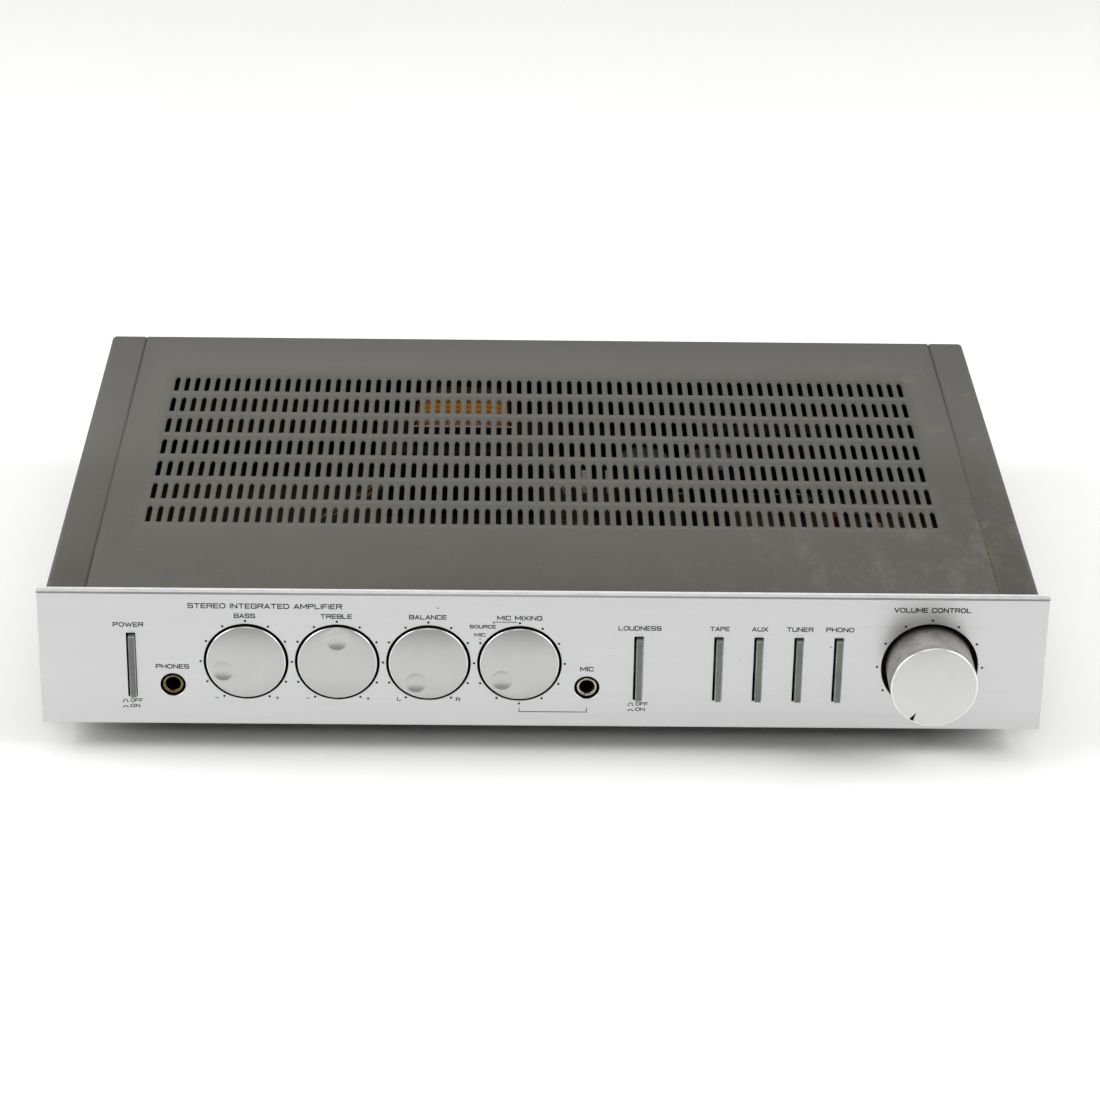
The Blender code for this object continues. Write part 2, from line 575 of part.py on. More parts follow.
# ---------------------------------------------------------------- inside
def make_transformer(mats, case):
    half_x = CORE_WIDTH / 2
    half_y = CORE_LENGTH / 2
    half_stack = CORE_STACK / 2
    place = (CORE_X, world_y(CORE_DEPTH), CORE_Z)
    bm = bmesh.new()
    add_box(bm, (-half_x, -half_y, -half_stack), (half_x, half_y, half_stack))
    core = body("transformer_core", bm, mats["iron_core"], place, case)
    windows = bmesh.new()
    window_half = half_y - CORE_YOKE
    for sign in (-1, 1):
        near, far = sorted((sign * CORE_LIMB / 2, sign * (CORE_LIMB / 2 + CORE_WINDOW)))
        add_box(windows, (near, -window_half, -CORE_STACK), (far, window_half, CORE_STACK))
    combine(core, windows, "DIFFERENCE")
    legs = bmesh.new()
    for sx in (-1, 1):
        for sy in (-1, 1):
            ax, bx = sorted((sx * half_x, sx * (half_x - CORE_LEG)))
            ay, by = sorted((sy * half_y, sy * (half_y - CORE_LEG)))
            add_box(legs, (ax, ay, -half_stack - CORE_LIFT), (bx, by, 0))
    combine(core, legs, "UNION")

    wide = CORE_LIMB / 2 + CORE_WINDOW - WINDING_GAP
    tall = half_stack + WINDING_BUILD
    long = window_half - WINDING_GAP
    hole = CORE_LIMB / 2 + WINDING_GAP
    hole_tall = half_stack + WINDING_GAP
    bm = bmesh.new()
    add_box(bm, (-wide, -long, -tall), (wide, long, tall))
    along = [e for e in bm.edges if abs(e.verts[0].co.y - e.verts[1].co.y) > long]
    bmesh.ops.bevel(bm, geom=along, offset=WINDING_BUILD / 2, offset_type="OFFSET", segments=2,
                    profile=0.5, affect="EDGES", material=-1)
    winding = body("transformer_winding", bm, mats["amber_tape"], place, case)
    cut = bmesh.new()
    add_box(cut, (-hole, -2 * long, -hole_tall), (hole, 2 * long, hole_tall))
    combine(winding, cut, "DIFFERENCE")


def make_power_board(mats, case):
    half_x = BOARD_WIDTH / 2
    half_y = BOARD_LENGTH / 2
    bm = bmesh.new()
    add_box(bm, (-half_x, -half_y, 0), (half_x, half_y, BOARD_THICKNESS))
    place = (BOARD_X, world_y(BOARD_DEPTH), BOARD_Z)
    board = body("main_board", bm, mats["circuit_board"], place, case)
    cut = bmesh.new()
    for x, depth in board_hole_places():
        add_rod(cut, (x - BOARD_X, depth - BOARD_DEPTH, -BOARD_THICKNESS), "Z", BOARD_HOLE_RADIUS,
                3 * BOARD_THICKNESS, COARSE)
    combine(board, cut, "DIFFERENCE")

    rim = CAPACITOR_RADIUS / 20
    profile = [(0, 0), (CAPACITOR_RADIUS, 0), (CAPACITOR_RADIUS, CAPACITOR_HEIGHT - rim),
               (CAPACITOR_RADIUS - rim, CAPACITOR_HEIGHT), (0, CAPACITOR_HEIGHT)]
    standing = BOARD_Z + BOARD_THICKNESS + GAP
    for side, offset in CAPACITOR_OFFSETS.items():
        bm = bmesh.new()
        add_turned(bm, profile, "Z", MEDIUM)
        body(f"filter_capacitor_{side}", bm, mats["capacitor_sleeve"],
             (BOARD_X + offset, world_y(BOARD_DEPTH + CAPACITOR_SETBACK), standing), case, smooth=True)


def make_heat_sink(mats, case):
    """A base plate with upright fins behind it, and the power module on its front."""
    half = SINK_WIDTH / 2
    pitch = (SINK_WIDTH - SINK_FIN) / (SINK_FINS - 1)
    outline = [(-half, 0), (half, 0)]
    for i in reversed(range(SINK_FINS)):
        left = -half + i * pitch
        right = left + SINK_FIN
        if i < SINK_FINS - 1:
            outline.append((right, SINK_BASE))
        outline += [(right, SINK_BASE + SINK_FIN_LENGTH), (left, SINK_BASE + SINK_FIN_LENGTH)]
        if i > 0:
            outline.append((left, SINK_BASE))
    bm = bmesh.new()
    add_extruded(bm, outline, 0, SINK_HEIGHT, "Z")
    base = TRAY_FLOOR_Z + GAP
    body("heat_sink", bm, mats["black_aluminium"], (SINK_X, world_y(SINK_DEPTH), base), case)

    bm = bmesh.new()
    front = -GAP - MODULE_THICKNESS
    add_box(bm, (-MODULE_WIDTH / 2, front, 0), (MODULE_WIDTH / 2, -GAP, MODULE_HEIGHT))
    face = [e for e in bm.edges if all(abs(v.co.y - front) < 1e-7 for v in e.verts)]
    bmesh.ops.bevel(bm, geom=face, offset=MODULE_THICKNESS / 8, offset_type="OFFSET", segments=1,
                    profile=0.5, affect="EDGES", material=-1)
    body("power_module", bm, mats["black_plastic"],
         (SINK_X, world_y(SINK_DEPTH), base + MODULE_LIFT), case)


# ---------------------------------------------------------------- rotary controls
def make_pot(name, x, height, width, length, mats, case):
    """A box with a threaded bushing in front and a blind bore for the shaft."""
    bm = bmesh.new()
    half = width / 2
    add_box(bm, (-half, BEHIND_SUBFRAME, -half), (half, BEHIND_SUBFRAME + length, half))
    pot = body(f"{name}_pot", bm, mats["plated_steel"], (x, world_y(0), world_z(height)), case)
    bushing = bmesh.new()
    add_rod(bushing, (0, BUSHING_FRONT, 0), "Y", BUSHING_RADIUS,
            BEHIND_SUBFRAME + length / 4 - BUSHING_FRONT, COARSE)
    combine(pot, bushing, "UNION")
    bore = bmesh.new()
    end = BEHIND_SUBFRAME + SHAFT_IN_POT + SHAFT_CLEARANCE
    add_rod(bore, (0, 0, 0), "Y", SHAFT_BORE_RADIUS, end, COARSE)
    combine(pot, bore, "DIFFERENCE")


def knob_profile(radius, proud, edge, skirt):
    """Half section of a knob, from its face's centre round to the floor of its bore."""
    floor = SHAFT_FRONT - SHAFT_CLEARANCE
    return [(0, -proud), (radius - edge, -proud), (radius, -proud + edge), (radius, skirt),
            (HUB_RADIUS, skirt), (HUB_RADIUS, HUB_BACK), (SHAFT_BORE_RADIUS, HUB_BACK),
            (SHAFT_BORE_RADIUS, floor), (0, floor)]


def make_shaft(name, mats, carrier):
    bm = bmesh.new()
    end = BEHIND_SUBFRAME + SHAFT_IN_POT
    add_rod(bm, (0, SHAFT_FRONT, 0), "Y", SHAFT_RADIUS, end - SHAFT_FRONT, COARSE)
    body(f"{name}_shaft", bm, mats["plated_steel"], (0, 0, 0), carrier, smooth=True)


def clockwise(angle, radius):
    """X and Z of a point at an angle in degrees, clockwise from the top as seen in front."""
    return radius * math.sin(math.radians(angle)), radius * math.cos(math.radians(angle))


def make_disc_controls(mats, case):
    """Flat discs, nearly flush with the panel, each turned by a finger dimple."""
    ball = (DIMPLE_RADIUS ** 2 + DIMPLE_SINK ** 2) / (2 * DIMPLE_SINK)
    for name, x in CONTROL_XS.items():
        carrier = empty(f"{name}_control", (x, world_y(0), world_z(CONTROL_HEIGHT)), case)
        bm = bmesh.new()
        add_turned(bm, knob_profile(DISC_RADIUS, DISC_PROUD, DISC_EDGE, DISC_SKIRT), "Y", FINE)
        knob = body(f"{name}_knob", bm, mats["satin_aluminium"], (0, 0, 0), carrier, smooth=True)
        dimple_x, dimple_z = clockwise(DIMPLE_ANGLES[name], DIMPLE_OFFSET)
        centre = (dimple_x, -DISC_PROUD + DIMPLE_SINK - ball, dimple_z)
        cut = bmesh.new()
        bmesh.ops.create_uvsphere(cut, u_segments=MEDIUM, v_segments=14, radius=ball,
                                  matrix=Matrix.Translation(centre) @ FACING["Y"])
        combine(knob, cut, "DIFFERENCE")
        make_shaft(name, mats, carrier)
        make_pot(name, x, CONTROL_HEIGHT, POT_WIDTH, POT_LENGTH, mats, case)


def make_volume_control(mats, case):
    """A tall knob with a wedge cut into its rim as a pointer."""
    carrier = empty("volume_control", (VOLUME_X, world_y(0), world_z(VOLUME_HEIGHT)), case)
    bm = bmesh.new()
    add_turned(bm, knob_profile(VOLUME_RADIUS, VOLUME_PROUD, VOLUME_EDGE, VOLUME_SKIRT), "Y", FINE)
    knob = body("volume_knob", bm, mats["satin_aluminium"], (0, 0, 0), carrier, smooth=True)
    cut = bmesh.new()
    inner = VOLUME_RADIUS - POINTER_LENGTH
    outer = VOLUME_RADIUS + POINTER_SINK
    half = POINTER_WIDTH / 2
    face = -VOLUME_PROUD
    slope = POINTER_SINK / POINTER_LENGTH
    depth = slope * (outer - inner)
    points = [(-half, face - depth, outer), (half, face - depth, outer), (0, face + depth, outer),
              (-half, face - depth, inner), (half, face - depth, inner), (0, face, inner)]
    verts = [cut.verts.new(p) for p in points]
    bmesh.ops.convex_hull(cut, input=verts)
    turn = Matrix.Rotation(math.radians(VOLUME_POINTER_ANGLE), 4, "Y")
    bmesh.ops.transform(cut, matrix=turn, verts=cut.verts)
    combine(knob, cut, "DIFFERENCE")
    make_shaft("volume", mats, carrier)
    make_pot("volume", VOLUME_X, VOLUME_HEIGHT, VOLUME_POT_WIDTH, VOLUME_POT_LENGTH, mats, case)


# ---------------------------------------------------------------- push buttons
def make_button(name, x, mats, case):
    """A flat bar in its slot, with a hub behind the panel that grips the switch's plunger."""
    carrier = empty(f"{name}_push", (x, world_y(0), world_z(BUTTON_HEIGHT)), case)
    half_x = SLOT_WIDTH / 2 - BUTTON_CLEARANCE
    half_z = SLOT_HEIGHT / 2 - BUTTON_CLEARANCE
    bm = bmesh.new()
    add_box(bm, (-half_x, -BUTTON_PROUD, -half_z), (half_x, BUTTON_HUB_FRONT + GAP, half_z))
    button = body(f"{name}_button", bm, mats["grey_plastic"], (0, 0, 0), carrier)
    hub = bmesh.new()
    add_box(hub, (-BUTTON_HUB_WIDTH / 2, BUTTON_HUB_FRONT, -BUTTON_HUB_HEIGHT / 2),
            (BUTTON_HUB_WIDTH / 2, BUTTON_HUB_BACK, BUTTON_HUB_HEIGHT / 2))
    combine(button, hub, "UNION")
    front = BUTTON_HUB_BACK - PLUNGER_GRIP
    socket = bmesh.new()
    add_box(socket, (-PLUNGER_WIDTH / 2 - GAP, front - GAP, -PLUNGER_HEIGHT / 2 - GAP),
            (PLUNGER_WIDTH / 2 + GAP, BUTTON_HUB_BACK + PLUNGER_GRIP, PLUNGER_HEIGHT / 2 + GAP))
    combine(button, socket, "DIFFERENCE")
    bm = bmesh.new()
    add_box(bm, (-PLUNGER_WIDTH / 2, front, -PLUNGER_HEIGHT / 2),
            (PLUNGER_WIDTH / 2, BEHIND_SUBFRAME + PLUNGER_IN_SWITCH, PLUNGER_HEIGHT / 2))
    body(f"{name}_plunger", bm, mats["white_plastic"], (0, 0, 0), carrier)


def make_switch(name, xs, length, mats, case):
    """A switch body with one blind pocket for each plunger."""
    middle = sum(xs) / len(xs)
    half = (max(xs) - min(xs)) / 2 + SWITCH_WIDTH / 2
    bm = bmesh.new()
    add_box(bm, (-half, BEHIND_SUBFRAME, -SWITCH_HEIGHT / 2),
            (half, BEHIND_SUBFRAME + length, SWITCH_HEIGHT / 2))
    switch = body(f"{name}_switch", bm, mats["switch_plastic"],
                  (middle, world_y(0), world_z(BUTTON_HEIGHT)), case)
    cut = bmesh.new()
    half_x = PLUNGER_WIDTH / 2 + PLUNGER_CLEARANCE
    half_z = PLUNGER_HEIGHT / 2 + PLUNGER_CLEARANCE
    end = BEHIND_SUBFRAME + PLUNGER_IN_SWITCH + BUTTON_TRAVEL + PLUNGER_CLEARANCE
    for x in xs:
        add_box(cut, (x - middle - half_x, SUBFRAME_DEPTH, -half_z),
                (x - middle + half_x, end, half_z))
    combine(switch, cut, "DIFFERENCE")


# ---------------------------------------------------------------- front jacks
def make_jack(name, x, mats, case):
    """A moulded body behind the subframe, a metal bushing out to the panel, a 6.3 mm bore."""
    half = JACK_BODY_WIDTH / 2
    bm = bmesh.new()
    add_box(bm, (-half, BEHIND_SUBFRAME, -half), (half, BEHIND_SUBFRAME + JACK_BODY_LENGTH, half))
    jack = body(f"{name}_jack", bm, mats["jack_metal"], (x, world_y(0), world_z(JACK_HEIGHT)), case)
    bushing = bmesh.new()
    add_rod(bushing, (0, JACK_BUSHING_FRONT, 0), "Y", JACK_BUSHING_RADIUS,
            BEHIND_SUBFRAME + JACK_BODY_LENGTH / 4 - JACK_BUSHING_FRONT, MEDIUM)
    combine(jack, bushing, "UNION")
    bore = bmesh.new()
    add_rod(bore, (0, JACK_BUSHING_FRONT - JACK_BORE_RADIUS, 0), "Y", JACK_BORE_RADIUS,
            JACK_BORE_LENGTH + JACK_BORE_RADIUS, MEDIUM)
    combine(jack, bore, "DIFFERENCE")


# ---------------------------------------------------------------- rear terminals
def make_input_sockets(mats, case):
    """One moulded block inside, with a round barrel through the rear panel for each input."""
    half_x = SOCKET_PITCH_X * (SOCKET_COLUMNS - 1) / 2 + SOCKET_RADIUS + SOCKET_BLOCK_MARGIN
    half_z = SOCKET_PITCH_Z * (SOCKET_ROWS - 1) / 2 + SOCKET_RADIUS + SOCKET_BLOCK_MARGIN / 2
    back = REAR_INSIDE - GAP
    centre_z = world_z(SOCKET_HEIGHT)
    bm = bmesh.new()
    add_box(bm, (-half_x, back - SOCKET_BLOCK_DEPTH, -half_z), (half_x, back, half_z))
    block = body("input_socket_block", bm, mats["black_plastic"],
                 (SOCKET_X, world_y(0), centre_z), case)
    barrels = bmesh.new()
    bores = bmesh.new()
    tip = REAR_DEPTH + SOCKET_STANDOUT
    for x, height in socket_places():
        z = world_z(height) - centre_z
        start = back - SOCKET_BLOCK_DEPTH / 2
        add_rod(barrels, (x - SOCKET_X, start, z), "Y", SOCKET_RADIUS, tip - start, COARSE)
        add_rod(bores, (x - SOCKET_X, REAR_DEPTH, z), "Y", SOCKET_BORE_RADIUS,
                2 * SOCKET_STANDOUT, 8)
    combine(block, barrels, "UNION")
    combine(block, bores, "DIFFERENCE")


def make_speaker_terminals(mats, case):
    """A block through the rear panel with four sprung levers, each over a wire hole."""
    wide = speaker_block_half_width()
    tall = SPEAKER_BLOCK_HEIGHT / 2
    rear = REAR_DEPTH + TERMINAL_STANDOUT
    bm = bmesh.new()
    add_box(bm, (-wide, REAR_INSIDE - SPEAKER_BLOCK_INSIDE, -tall), (wide, rear, tall))
    block = body("speaker_terminal_block", bm, mats["black_plastic"],
                 (SPEAKER_X, world_y(0), SPEAKER_Z), case)
    cut = bmesh.new()
    clear = LEVER_CLEARANCE
    for i, name in enumerate(SPEAKER_LEVERS):
        x = (i - (len(SPEAKER_LEVERS) - 1) / 2) * SPEAKER_PITCH
        half = LEVER_WIDTH / 2 + clear
        axis_z = -LEVER_AXIS_DROP
        add_box(cut, (x - half, rear - LEVER_POCKET_DEPTH, axis_z - LEVER_BARREL_RADIUS - clear),
                (x + half, rear + clear, axis_z + LEVER_HEIGHT + 2 * clear))
        add_rod(cut, (x, rear - WIRE_HOLE_DEPTH, axis_z - WIRE_HOLE_DROP), "Y", WIRE_HOLE_RADIUS,
                WIRE_HOLE_DEPTH + clear, 8)
        place = (SPEAKER_X + x, world_y(LEVER_AXIS_DEPTH), LEVER_AXIS_Z)
        make_lever(name, empty(f"speaker_{name}", place, case), mats)
    combine(block, cut, "DIFFERENCE")


def make_lever(name, carrier, mats):
    """A tab that stands on its hinge barrel, with a finger ledge at its top."""
    half = LEVER_WIDTH / 2
    thick = LEVER_THICKNESS / 2
    outline = [(-thick, 0), (thick, 0), (thick, LEVER_HEIGHT - LEVER_LEDGE_HEIGHT),
               (thick + LEVER_LEDGE, LEVER_HEIGHT - LEVER_LEDGE_HEIGHT),
               (thick + LEVER_LEDGE, LEVER_HEIGHT), (-thick, LEVER_HEIGHT)]
    bm = bmesh.new()
    add_extruded(bm, outline, -half, half, "X")
    mat = mats["red_plastic"] if name.endswith("plus") else mats["switch_plastic"]
    lever = body(f"speaker_lever_{name}", bm, mat, (0, 0, 0), carrier)
    barrel = bmesh.new()
    add_rod(barrel, (-half - GAP, 0, 0), "X", LEVER_BARREL_RADIUS, LEVER_WIDTH + 2 * GAP, COARSE)
    combine(lever, barrel, "UNION")


def make_mains_gland(mats, case):
    """A moulded bushing in the rear panel that a mains cord passes through."""
    inside = REAR_INSIDE - GAP
    outside = REAR_DEPTH + GAP
    profile = [(GLAND_BORE_RADIUS, inside - GLAND_FLANGE), (GLAND_FLANGE_RADIUS, inside - GLAND_FLANGE),
               (GLAND_FLANGE_RADIUS, inside), (GLAND_RADIUS, inside), (GLAND_RADIUS, outside),
               (GLAND_FLANGE_RADIUS, outside), (GLAND_FLANGE_RADIUS, outside + GLAND_FLANGE),
               (GLAND_RADIUS, REAR_DEPTH + GLAND_STANDOUT), (GLAND_BORE_RADIUS, REAR_DEPTH + GLAND_STANDOUT)]
    bm = bmesh.new()
    add_turned(bm, profile, "Y", MEDIUM, ring=True)
    body("mains_gland", bm, mats["black_plastic"], (GLAND_X, world_y(0), world_z(GLAND_HEIGHT)),
         case, smooth=True)


def make_ground_screw(mats, case):
    """A thumb screw for an earth wire, held by a collar inside the rear panel."""
    inside = REAR_INSIDE - GAP
    outside = REAR_DEPTH + GAP
    edge = GROUND_HEAD_RADIUS / 8
    head = outside + GROUND_HEAD_LENGTH
    profile = [(0, inside - GROUND_COLLAR_LENGTH), (GROUND_COLLAR_RADIUS, inside - GROUND_COLLAR_LENGTH),
               (GROUND_COLLAR_RADIUS, inside), (GROUND_SCREW_RADIUS, inside),
               (GROUND_SCREW_RADIUS, outside), (GROUND_HEAD_RADIUS, outside),
               (GROUND_HEAD_RADIUS, head - edge), (GROUND_HEAD_RADIUS - edge, head), (0, head)]
    bm = bmesh.new()
    add_turned(bm, profile, "Y", MEDIUM)
    body("ground_screw", bm, mats["plated_steel"], (GROUND_X, world_y(0), world_z(GROUND_HEIGHT)),
         case, smooth=True)


# ---------------------------------------------------------------- assembly
def make_materials():
    finishes = {
        "aluminium": ("#C9CACB", 0.38, 0.9), "satin_aluminium": ("#D2D2D1", 0.42, 0.9),
        "painted_steel": ("#6B6B63", 0.60, 0.0), "steel": ("#8E9092", 0.45, 0.9),
        "plated_steel": ("#B4B2AA", 0.35, 1.0), "black_screw": ("#2A2A2A", 0.45, 0.6),
        "black_plastic": ("#1C1C1C", 0.50, 0.0), "grey_plastic": ("#7D807A", 0.50, 0.0),
        "white_plastic": ("#D8D5CA", 0.50, 0.0), "switch_plastic": ("#33332F", 0.50, 0.0),
        "red_plastic": ("#9C1F1B", 0.45, 0.0), "iron_core": ("#4A4742", 0.60, 0.5),
        "amber_tape": ("#B8792A", 0.35, 0.0), "circuit_board": ("#7A5A2E", 0.50, 0.0),
        "capacitor_sleeve": ("#23272E", 0.40, 0.0), "black_aluminium": ("#1F1F20", 0.50, 0.4),
        "jack_metal": ("#A89A72", 0.35, 0.9),
    }
    return {name: material(name, *values) for name, values in finishes.items()}


def main():
    for obj in list(bpy.data.objects):
        bpy.data.objects.remove(obj)
    mats = make_materials()
    case = empty("amplifier", (0, 0, 0))
    for maker in (make_front_panel, make_front_subframe, make_chassis_tray, make_top_cover,
                  make_rear_panel, make_feet, make_cover_screws, make_transformer,
                  make_power_board, make_heat_sink, make_disc_controls, make_volume_control,
                  make_input_sockets, make_speaker_terminals, make_mains_gland, make_ground_screw):
        maker(mats, case)
    for name, x in BUTTON_XS.items():
        make_button(name, x, mats, case)
    make_switch("power", [POWER_X], POWER_SWITCH_LENGTH, mats, case)
    make_switch("loudness", [LOUDNESS_X], SWITCH_LENGTH, mats, case)
    make_switch("selector", list(SOURCE_XS.values()), SWITCH_LENGTH, mats, case)
    for name, x in JACK_XS.items():
        make_jack(name, x, mats, case)


main()
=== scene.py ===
import math
import random

import bmesh
import bpy
from mathutils import Matrix, Vector


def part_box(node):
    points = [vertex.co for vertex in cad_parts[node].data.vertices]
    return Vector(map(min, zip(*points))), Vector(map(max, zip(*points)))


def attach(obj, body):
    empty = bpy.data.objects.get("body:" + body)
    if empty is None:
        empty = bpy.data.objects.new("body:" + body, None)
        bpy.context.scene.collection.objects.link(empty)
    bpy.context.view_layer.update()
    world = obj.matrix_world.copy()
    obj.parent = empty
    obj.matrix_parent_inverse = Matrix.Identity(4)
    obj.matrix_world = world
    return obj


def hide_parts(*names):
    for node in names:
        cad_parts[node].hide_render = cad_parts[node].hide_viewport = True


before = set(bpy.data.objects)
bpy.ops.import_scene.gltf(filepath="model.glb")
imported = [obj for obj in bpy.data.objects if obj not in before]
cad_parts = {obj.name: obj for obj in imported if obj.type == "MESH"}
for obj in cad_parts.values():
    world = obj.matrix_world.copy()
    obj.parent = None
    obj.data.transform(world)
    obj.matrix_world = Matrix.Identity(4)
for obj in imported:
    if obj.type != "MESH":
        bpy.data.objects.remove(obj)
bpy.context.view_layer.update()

bl_info = {
    "name": "Integrated amplifier",
    "version": (1, 0, 0),
    "blender": (4, 5, 0),
    "location": "3D View > Sidebar > Amplifier",
    "description": "Builds the looks of a slim stereo integrated amplifier around its CAD frame",
    "category": "Object",
}

MM = 0.001
INK_LIFT = 0.00002            # the ink starts this far in front of the panel
AXES = {"X": Vector((1, 0, 0)), "Y": Vector((0, 1, 0)), "Z": Vector((0, 0, 1))}
SIDEWAYS = {"X": Vector((0, 1, 0)), "Y": Vector((1, 0, 0)), "Z": Vector((1, 0, 0))}
TONE_KNOBS = ("bass", "treble", "balance", "mic_mixing")
BUTTONS = ("power", "loudness", "tape", "aux", "tuner", "phono")
LEVERS = ("left_minus", "left_plus", "right_minus", "right_plus")
CORNERS = ("front_left", "front_right", "rear_left", "rear_right")

SCALE_RADIUS = 19.85 * MM            # the printed dots round a tone knob, and round the volume knob
VOLUME_SCALE_RADIUS = 23.05 * MM
POINTER_ANGLE = -150.0               # degrees clockwise from upright, as are the dimples
DIMPLE_ANGLES = {"bass": -113.0, "treble": 0.0, "balance": -150.0, "mic_mixing": -136.0}
DIMPLE_FROM_MIDDLE = 11.0 * MM
HUB_RADIUS = 5.7 * MM
BAR_HALF = 1.4 * MM                  # half the width of a button's bar
JACK_BORE, JACK_BUSHING = 3.17 * MM, 4.58 * MM
VENT_COLUMNS, VENT_ROWS = 73, 7
VENTS_BACK = 169.25 * MM             # from the panel's face to the middle of the field of slots
GROOVE_X = 200.9 * MM                # the pressed grooves, from the middle
SOCKET_PITCH = 18 * MM
BOARD_TRIES, TONE_BOARD_PARTS, KNURLS = 150, 26, 40


# ---------------------------------------------------------------- places on the frame

def middle(node):
    """The middle of a CAD node's box."""
    low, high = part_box(node)
    return (low + high) / 2


PANEL_LOW, PANEL_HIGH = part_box("front_panel")
COVER_LOW, COVER_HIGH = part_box("top_cover")
FRONT_Y = PANEL_LOW.y
BACK_Y = PANEL_HIGH.y


def on_panel(x, height, proud=0.0):
    """A place on the panel's face, from millimetres across and above its bottom edge."""
    return Vector((x * MM, FRONT_Y - proud * MM, PANEL_LOW.z + height * MM))


# ---------------------------------------------------------------- settings

class AmplifierSizes(bpy.types.PropertyGroup):
    """Sizes of the visible details."""
    disc_gap: bpy.props.FloatProperty(
        name="Gap round a tone knob", default=0.00105, min=0.0005, unit="LENGTH", subtype="DISTANCE",
        description="Dark ring between each flat knob and its hole")
    volume_gap: bpy.props.FloatProperty(
        name="Gap round the volume knob", default=0.0022, min=0.0005, unit="LENGTH", subtype="DISTANCE",
        description="Dark ring between the volume knob and its hole")
    jack_gap: bpy.props.FloatProperty(
        name="Gap round a jack", default=0.00095, min=0.0003, unit="LENGTH", subtype="DISTANCE",
        description="Dark ring between a jack's bushing and its hole")
    slot_gap: bpy.props.FloatProperty(
        name="Gap round a button", default=0.0006, min=0.0002, unit="LENGTH", subtype="DISTANCE",
        description="Clearance between a button's bar and its slot")
    dimple_radius: bpy.props.FloatProperty(
        name="Dimple radius", default=0.00465, min=0.002, unit="LENGTH", subtype="DISTANCE",
        description="Radius of the finger dimple that marks a tone knob's setting")
    dimple_sink: bpy.props.FloatProperty(
        name="Dimple depth", default=0.0010, min=0.0002, unit="LENGTH", subtype="DISTANCE",
        description="Depth of the finger dimple")
    dot_size: bpy.props.FloatProperty(
        name="Scale dot", default=0.0011, min=0.0003, unit="LENGTH", subtype="DISTANCE",
        description="Diameter of the printed dots round each knob")
    vent_pitch: bpy.props.FloatProperty(
        name="Vent pitch", default=0.005, min=0.003, unit="LENGTH", subtype="DISTANCE",
        description="Distance between neighbouring slots of the cover")
    vent_row_pitch: bpy.props.FloatProperty(
        name="Vent row pitch", default=0.025, min=0.018, unit="LENGTH", subtype="DISTANCE",
        description="Distance between rows of slots")
    vent_width: bpy.props.FloatProperty(
        name="Vent width", default=0.0024, min=0.001, unit="LENGTH", subtype="DISTANCE",
        description="Width of one slot")
    vent_length: bpy.props.FloatProperty(
        name="Vent length", default=0.0172, min=0.005, unit="LENGTH", subtype="DISTANCE",
        description="Length of one slot")
    sheet: bpy.props.FloatProperty(
        name="Cover sheet", default=0.0007, min=0.0003, unit="LENGTH", subtype="DISTANCE",
        description="Thickness of the cover's steel sheet")


class AmplifierColours(bpy.types.PropertyGroup):
    """Colours as they would be picked from a swatch."""
    cover: bpy.props.StringProperty(
        name="Cover", default="4C4B45", description="Olive-grey enamel of the cover, as sRGB hex")


class AmplifierStudio(bpy.types.PropertyGroup):
    """Camera and lights."""
    camera_place: bpy.props.FloatVectorProperty(
        name="Camera", default=(-0.0225147, -1.46831, 0.74524), unit="LENGTH", subtype="TRANSLATION",
        description="Where the camera stands")
    yaw: bpy.props.FloatProperty(
        name="Yaw", default=math.radians(1.0698), unit="ROTATION", subtype="ANGLE",
        description="Camera turned to the right of straight on")
    pitch: bpy.props.FloatProperty(
        name="Pitch", default=math.radians(26.0509), unit="ROTATION", subtype="ANGLE",
        description="Camera tipped down")
    roll: bpy.props.FloatProperty(
        name="Roll", default=math.radians(0.9470), unit="ROTATION", subtype="ANGLE",
        description="Camera turned about its own line of sight")
    lens: bpy.props.FloatProperty(
        name="Lens", default=111.756, min=20.0, unit="CAMERA",
        description="Focal length on a 36 mm sensor")
    top_power: bpy.props.FloatProperty(
        name="Overhead light", default=8.5, min=0.0, unit="POWER",
        description="Power of the soft light above the object")
    front_power: bpy.props.FloatProperty(
        name="Front light", default=6.0, min=0.0, unit="POWER",
        description="Power of the light in front, above the camera")
    left_power: bpy.props.FloatProperty(
        name="Left light", default=25.0, min=0.0, unit="POWER",
        description="Power of the soft light at the left")
    right_power: bpy.props.FloatProperty(
        name="Right light", default=24.5, min=0.0, unit="POWER",
        description="Power of the soft light at the right")
    rear_power: bpy.props.FloatProperty(
        name="Backdrop light", default=16.0, min=0.0, unit="POWER",
        description="Power of the pale backdrop behind the object")
    surround: bpy.props.FloatProperty(
        name="Room brightness", default=0.15, min=0.0, subtype="FACTOR",
        description="Brightness of the plain room around the stage")


def sizes():
    """The size settings of this scene."""
    return bpy.context.scene.amplifier_sizes


def colour_of(name):
    """A colour setting of this scene, in the linear form that shaders use."""
    return hex_linear(getattr(bpy.context.scene.amplifier_colours, name))


# ---------------------------------------------------------------- shared shapes

def faces_since(bm, known):
    """The faces made since the set known was taken."""
    return [face for face in bm.faces if face not in known]


def once_each(parts):
    """The parts in the order they come, each once; a set of them would have another order each run."""
    return list(dict.fromkeys(parts))


